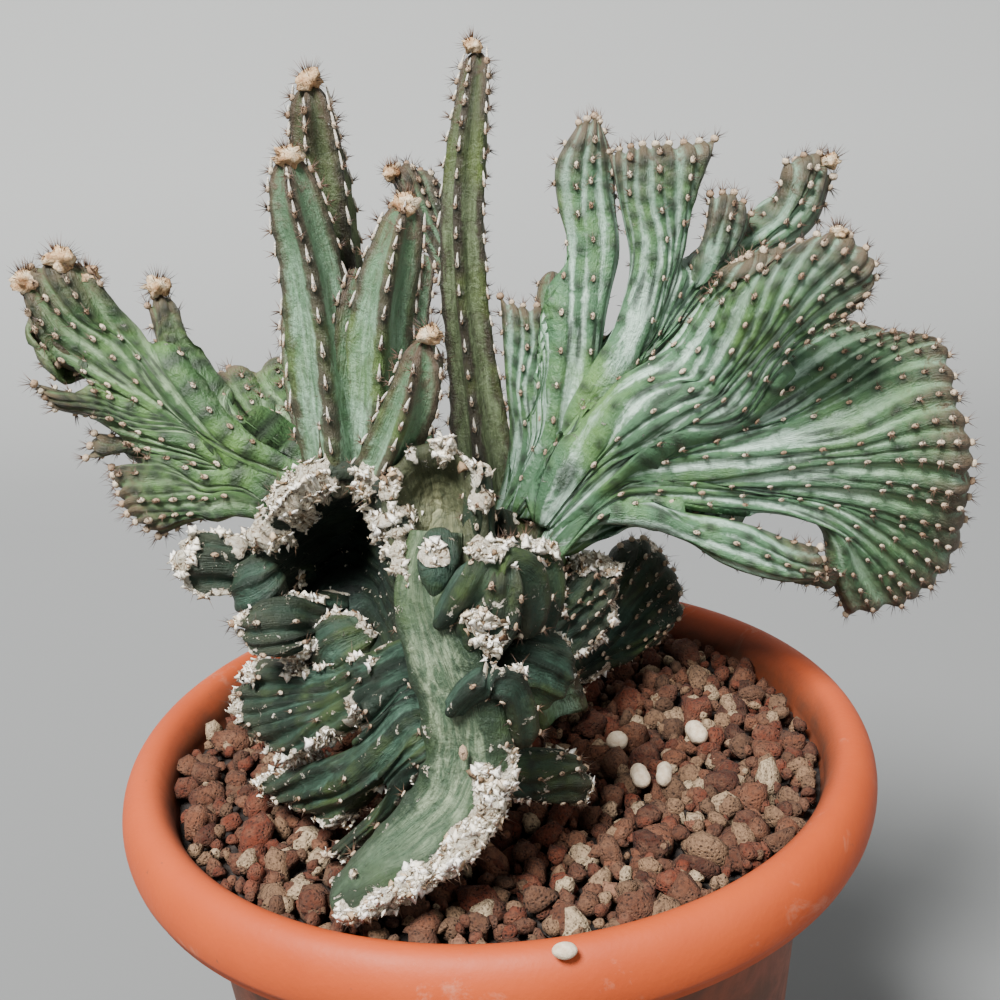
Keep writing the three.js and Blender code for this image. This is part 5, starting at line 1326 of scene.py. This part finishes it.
skirt = lobe_sheet(
    "skirt", [(-9, -36, 156), (-10, -38, 149), (-9, -42, 143), (-8, -43, 138)], (5, 3.8, 2.8), [
    lobe_plan(5, 9, 0, [
        [(-21, -28, 148), (-31, -22, 145), (-39, -18, 144)],
        [(-22, -29, 144), (-34, -22, 140), (-43, -17, 138)],
        [(-23, -30, 141), (-35, -23, 136), (-43, -18, 133)],
        [(-22, -32, 140), (-32, -26, 133), (-37, -22, 130)],
        [(-21, -34, 139), (-28, -29, 133), (-32, -26, 129)]]),
    lobe_plan(4, 5, 0.35, [
        [(-20, -35, 136), (-31, -26, 128), (-42, -18, 121)],
        [(-20, -37, 133), (-29, -29, 125), (-37, -21, 119)],
        [(-17, -39, 132), (-22, -36, 125), (-27, -32, 119)]], bark=0.5),
    lobe_plan(3, 5, 0.4, [
        [(-15, -41, 132), (-21, -39, 125), (-28, -37, 118)],
        [(-13, -43, 132), (-18, -41, 124), (-25, -39, 117)]], bark=0.3)],
    rows=64, pitch=19.0, cork=(2.8, 1.3), seed=74)
# The hollow's skin is painted near black: painted shade inside it.
painted_shade_hollow_skin = waxy_stem(
    "painted_shade_hollow_skin", crown=(0.002, 0.005, 0.003), furrow=(0.005, 0.012, 0.008), wax=(0.02, 0.04, 0.028),
    young=(0.012, 0.022, 0.008), tip_tone=(0.02, 0.03, 0.015), dirt=0.6, bloom=(0.4, 0.75))
join_cactus(painted_shade_hollow_skin, hollow)
join_cactus(old_skin, inner_bulge, side_bump, cork_ear, cheek_lobe, skirt)

# Back joins
# Behind the hollow the crest closes as a wall, a bridge carries the front growth, and small folds
# and a dark crest fill the back on the right.

back_wall = lobe_sheet("back_wall", [(9, 5, 151), (9, 6, 138)], (4, 5, 5), [
    lobe_plan(3, 5, 0, [
        [(-10, 2, 158), (-22, -1, 160), (-32, -6, 160)],
        [(-10, 3, 143), (-21, 0, 146), (-31, -6, 147)],
        [(-9, 3, 133), (-20, 0, 135), (-30, -6, 139)]])], rows=40, pitch=8.0, seed=81)
bridge = lobe_sheet("bridge", [(-5, -38, 163), (-6, -38, 144)], (5, 5, 5), [
    lobe_plan(3, 3, 0, [
        [(-2, -24, 159), (2, -8, 153), (6, 4, 150)],
        [(-2, -24, 149), (2, -8, 143), (7, 5, 137)],
        [(-2, -24, 137), (3, -8, 130), (8, 6, 124)]])], rows=40, pitch=12.0, seed=82)
cork_cluster = lobe_sheet("cork_cluster", [(6, 2, 136), (8, 2, 127)], (4.5, 3.8, 3), [
    lobe_plan(4, 6, 0, [
        [(9, 3, 141), (13, 4, 145), (16, 5, 148)],
        [(12, 4, 138), (17, 6, 142), (23, 8, 147)],
        [(13, 4, 135), (18, 6, 137), (23, 8, 139)],
        [(13, 4, 130), (17, 6, 131), (21, 8, 132)]])], rows=36, pitch=7.0, cork=(3.5, 1.4), seed=83)
back_lobes = lobe_sheet("back_lobes", [(7, 9, 124), (8, 9, 118)], (5.5, 4.2, 3), [
    lobe_plan(6, 9, 0, [
        [(15, 17, 129), (22, 23, 136), (27, 26, 142)],
        [(18, 18, 127), (26, 25, 134), (32, 29, 142)],
        [(20, 19, 124), (30, 27, 129), (38, 31, 134)],
        [(21, 18, 121), (31, 25, 123), (39, 30, 126)],
        [(20, 15, 119), (27, 21, 120), (33, 25, 121)]])], rows=44, pitch=6.5, cork=(0.6, 0.5), seed=84)
join_cactus(old_skin, back_wall, bridge, cork_cluster, back_lobes)

# Areoles
# Each rib's crown carries small oval cushions of cream felt, and each cushion holds a few stiff
# dark spines. On the spears a tail of white wool hangs below the cushion.

clear_level = 114.5
felt_sink = 0.1
spines_tried = 13
spine_radius = 0.09
tail_share = 0.2
areole_rows = np.concatenate(areoles)
areole_at, areole_out, areole_up = (areole_rows[:, 3 * k:3 * k + 3] for k in range(3))
areole_size, areole_share, areole_tail = areole_rows[:, 9:].T
areole_side = unit(np.cross(areole_up, areole_out))
areole_up = unit(np.cross(areole_out, areole_side))
clear_of_mix = areole_at[:, 2] > clear_level
frames = np.stack([areole_side, areole_up, areole_out], 1)[clear_of_mix]
areole_at, areole_size, areole_share, areole_tail = (
    part[clear_of_mix] for part in (areole_at, areole_size, areole_share, areole_tail))


def strewn(name, shape_points, shape_faces, places, turned_frames, scale, tint=None):
    """Copies of one small shape, each scaled by its own three sizes, turned into its own frame and
    set at its place, as one mesh. The frames hold side, up and out as rows."""
    shape = shape_points[None] * scale[:, None]
    points = np.einsum("nij,njk->nik", shape, turned_frames) + places[:, None]
    size = len(shape_points)
    spread_tint = None if tint is None else np.repeat(tint, size, axis=0)
    return put_mesh(name, points.reshape(-1, 3), [copies(shape_faces, size, len(places))], tint=spread_tint)


felt_points = block_points * (1 + 0.12 * lumps(block_points * 3, 1.0, 5))[:, None]
felt_draw = np.random.default_rng(7)
felt_count = len(areole_at)
near_crest = np.clip((areole_share - 0.7) / 0.3, 0, 1)
felt_scale = areole_size[:, None] * np.stack([
    0.38 + 0.24 * near_crest ** 4, 0.66 + 0.06 * near_crest ** 4, 0.2 + 0.38 * near_crest ** 2], 1)
felt_tint = np.stack([felt_draw.uniform(0, 1, felt_count), near_crest, areole_tail, np.ones(felt_count)], 1)
felt = strewn("areole_cushions", felt_points, block_faces, areole_at + felt_sink * frames[:, 2], frames,
              felt_scale, felt_tint)
felt_material = new_material("cream_felt")
felt_place = own_place(felt_material)
felt_fibre = noise(felt_material, felt_place, 3500, 4, 0.7)
felt_colour = ramp(felt_material, read_growth(felt_material)[0], [
    (0.0, (0.28, 0.18, 0.11)), (0.5, (0.48, 0.37, 0.26)), (1.0, (0.62, 0.53, 0.4))])
felt_colour = cover(felt_material, felt_colour, (0.16, 0.095, 0.06), felt_fibre, 0.5, 0.66, 0.0, 0.6)


def finish_dry(material, colour, fibre, relief=0.0004, strength=0.8):
    """A dry finish: the colour, hardly any gloss, and a fine relief in metres from the fibre."""
    return finish_shader(material, Base_Color=colour, Roughness=0.95, Specular_IOR_Level=0.15,
                         Normal=bumped(material, fibre, relief, strength))


join_cactus(finish_dry(felt_material, felt_colour, felt_fibre), felt)

spine_turn = np.array([0.0, 2.1, 4.2])
spine_points = np.concatenate([
    np.stack([np.cos(spine_turn), np.sin(spine_turn), 0 * spine_turn], 1), [[0, 0, 1]]])
spine_faces = np.array([[0, 1, 3], [1, 2, 3], [2, 0, 3], [2, 1, 0]])


def spikes(name, places, out, guide, radius, length):
    """Slim three-sided points of that radius and those lengths, set at their places with their
    points along the way out. Their first side is square to the guide and the way out."""
    side = unit(np.cross(guide, out))
    thick = np.full(len(places), radius)
    return strewn(name, spine_points, spine_faces, places, np.stack([side, np.cross(out, side), out], 1),
                  np.stack([thick, thick, length], 1))


spine_owner = np.repeat(np.arange(felt_count), spines_tried)
spine_draw = np.random.default_rng(8)
spine_kept = spine_draw.uniform(0, 1, len(spine_owner)) < (
    0.3 + 0.7 * near_crest + 0.3 * (areole_tail > tail_share))[spine_owner]
spine_owner = spine_owner[spine_kept]
lean = spine_draw.normal(0, 0.7, (len(spine_owner), 2))
own_frames = frames[spine_owner]
spine_out = unit(own_frames[:, 2] + own_frames[:, 0] * lean[:, :1] + own_frames[:, 1] * (lean[:, 1:] + 0.15))
spine_length = spine_draw.uniform(0.8, 2.4, len(spine_owner)) * (0.85 + 0.4 * near_crest[spine_owner])
spines = spikes("spines", areole_at[spine_owner] + felt_sink * own_frames[:, 2], spine_out,
                own_frames[:, 1], spine_radius, spine_length)
spine_material = new_material("dark_spine")
spine_cloud = noise(spine_material, own_place(spine_material), 300, 3)
finish_shader(spine_material, Roughness=0.5, Base_Color=ramp(spine_material, spine_cloud, [
    (0.35, (0.022, 0.011, 0.007)), (0.65, (0.13, 0.07, 0.04))]))
join_cactus(spine_material, spines)

tailed = areole_tail > tail_share
tail_count = tailed.sum()
tail_length = felt_draw.uniform(0.5, 1.9, tail_count) * areole_tail[tailed]
tail_scale = np.stack([np.full(tail_count, 0.25), tail_length, np.full(tail_count, 0.24)], 1)
tail_scale *= areole_size[tailed][:, None]
tail_points = felt_points.copy()
tail_points[:, 0] *= 1 - 0.45 * felt_points[:, 1]
tail_frames = frames[tailed]
tail_at = (areole_at[tailed] + tail_frames[:, 1] * (0.9 * areole_tail[tailed])[:, None]
           + 0.12 * tail_frames[:, 2])
tails = strewn("wool_tails", tail_points, block_faces, tail_at, tail_frames, tail_scale)
tail_material = new_material("white_wool")
tail_fibre = noise(tail_material, own_place(tail_material), 3000, 4, 0.7)
tail_colour = ramp(tail_material, tail_fibre, [(0.35, (0.33, 0.27, 0.19)), (0.6, (0.74, 0.71, 0.63))])
join_cactus(finish_dry(tail_material, tail_colour, tail_fibre), tails)

# Wool tufts
# The growing tips end in a tuft of cream and rust-coloured wool, with fine hairs standing out of
# it. The wool grows from the youngest areoles, which crowd at the tip.

hairs_each = 70
hair_radius = 0.07
tufts = np.array([
    (4, 17, 240, 1.9), (-21, -13, 237.5, 2.4), (-24, -23.5, 227.5, 2.4), (-7.5, -23, 219.5, 2.4),
    (-5, -34, 202, 2.0), (-64, -9.5, 212.5, 3.0), (-70, -9.5, 209.5, 2.6), (-60.5, -8, 209.5, 2.2),
    (-50, -6, 206.5, 2.5), (-12, 22, 219, 1.9), (65, 14, 217, 2.0), (60, -12, 209, 1.8)])
tuft_points, tuft_faces = ball_shape(subdivisions=3)
tuft_own = tuft_points[None] + 9.1 * np.arange(len(tufts))[:, None, None]
tuft_reach = 0.85 + 0.35 * lumps(tuft_own, 0.45, 3) + 0.25 * lumps(tuft_own, 0.2, 4)
tuft_shape = tuft_points[None] * tuft_reach[..., None]
tuft_all = tuft_shape * tufts[:, None, 3:] * np.array([1, 1, 0.8]) + tufts[:, None, :3]
wool = put_mesh("wool_tufts", tuft_all.reshape(-1, 3), [copies(tuft_faces, len(tuft_points), len(tufts))])
wool_material = new_material("cream_wool")
wool_place = own_place(wool_material)
wool_cloud = noise(wool_material, wool_place, 420, 3, 0.6)
wool_fibre = noise(wool_material, wool_place, 2600, 4, 0.7)
wool_colour = ramp(wool_material, wool_cloud, [
    (0.35, (0.33, 0.17, 0.08)), (0.5, (0.6, 0.4, 0.22)), (0.65, (0.72, 0.6, 0.42))])
wool_colour = cover(wool_material, wool_colour, (0.2, 0.12, 0.07), wool_fibre, 0.5, 0.65, 0.0, 0.55)
join_cactus(finish_dry(wool_material, wool_colour, wool_fibre, 0.0006, 0.9), wool)
hair_draw = np.random.default_rng(9)
hair_owner = np.repeat(np.arange(len(tufts)), hairs_each)
hair_out = unit(hair_draw.normal(size=(len(hair_owner), 3)) + np.array([0, 0, 0.8]))
hairs = spikes("tuft_hairs", tufts[hair_owner, :3] + hair_out * (0.7 * tufts[hair_owner, 3:]), hair_out,
               np.array([0.3, 0.9, 0.2]), hair_radius, hair_draw.uniform(1.2, 2.6, len(hair_owner)))
join_cactus(spine_material, hairs)

# Cork flakes
# The bark of the old crests breaks into curled flakes of dead white skin that lift at their edges,
# with thin brown bristles left between them.

flake_level = 115.5
bristle_share = 0.2
bristle_radius = 0.075
cork_rows = np.concatenate(cork_spots)
cork_rows = cork_rows[cork_rows[:, 2] > flake_level]
cork_draw = np.random.default_rng(17)
plate_turn = np.arange(6) * np.pi / 3
plate_reach = np.array([1.0, 0.7, 1.15, 0.85, 1.1, 0.6])
plate_points = np.concatenate([
    np.stack([plate_reach * np.cos(plate_turn), 0.7 * plate_reach * np.sin(plate_turn),
              np.array([0.3, -0.1, 0.25, 0.0, 0.4, -0.1])], 1), [[0.1, 0, 0.12]], [[0, 0, -0.14]]])
plate_ring = np.arange(6)
plate_faces = np.concatenate([pole_faces(6, plate_ring)[:, [1, 2, 0]],
                              pole_faces(7, plate_ring)[:, [2, 1, 0]]])
plate_out = unit(cork_rows[:, 3:] + 0.38 * cork_draw.normal(size=(len(cork_rows), 3)))
plate_side = unit(np.cross(plate_out, cork_draw.normal(size=(len(cork_rows), 3))))
plate_frames = np.stack([plate_side, np.cross(plate_out, plate_side), plate_out], 1)
plate_size = (0.28 + 0.85 * cork_draw.uniform(0, 1, (len(cork_rows), 1)) ** 2.5) * np.array([[1.0, 1.5, 1.1]])
flake_tint = cork_draw.uniform(0, 1, (len(cork_rows), 4))
flakes = strewn("cork_flakes", plate_points, plate_faces, cork_rows[:, :3] + 0.15 * cork_rows[:, 3:],
                plate_frames, plate_size, flake_tint)
flake_material = new_material("cork_flake")
flake_cloud = noise(flake_material, own_place(flake_material), 1500, 5, 0.7)
flake_colour = ramp(flake_material, read_growth(flake_material)[0], [
    (0.0, (0.1, 0.055, 0.03)), (0.12, (0.5, 0.36, 0.22)), (0.28, (0.88, 0.8, 0.64)),
    (1.0, (0.97, 0.93, 0.85))])
flake_colour = cover(flake_material, flake_colour, (0.3, 0.2, 0.12), flake_cloud, 0.3, 0.44, 0.5, 0.0)
join_cactus(finish_dry(flake_material, flake_colour, flake_cloud), flakes)
bristle_rows = cork_rows[cork_draw.uniform(0, 1, len(cork_rows)) < bristle_share]
bristle_out = unit(bristle_rows[:, 3:] + 0.6 * cork_draw.normal(size=(len(bristle_rows), 3)))
bristles = spikes("cork_bristles", bristle_rows[:, :3], bristle_out, np.array([-0.2, -0.3, -0.93]),
                  bristle_radius, cork_draw.uniform(1.4, 3.6, len(bristle_rows)))
join_cactus(spine_material, bristles)
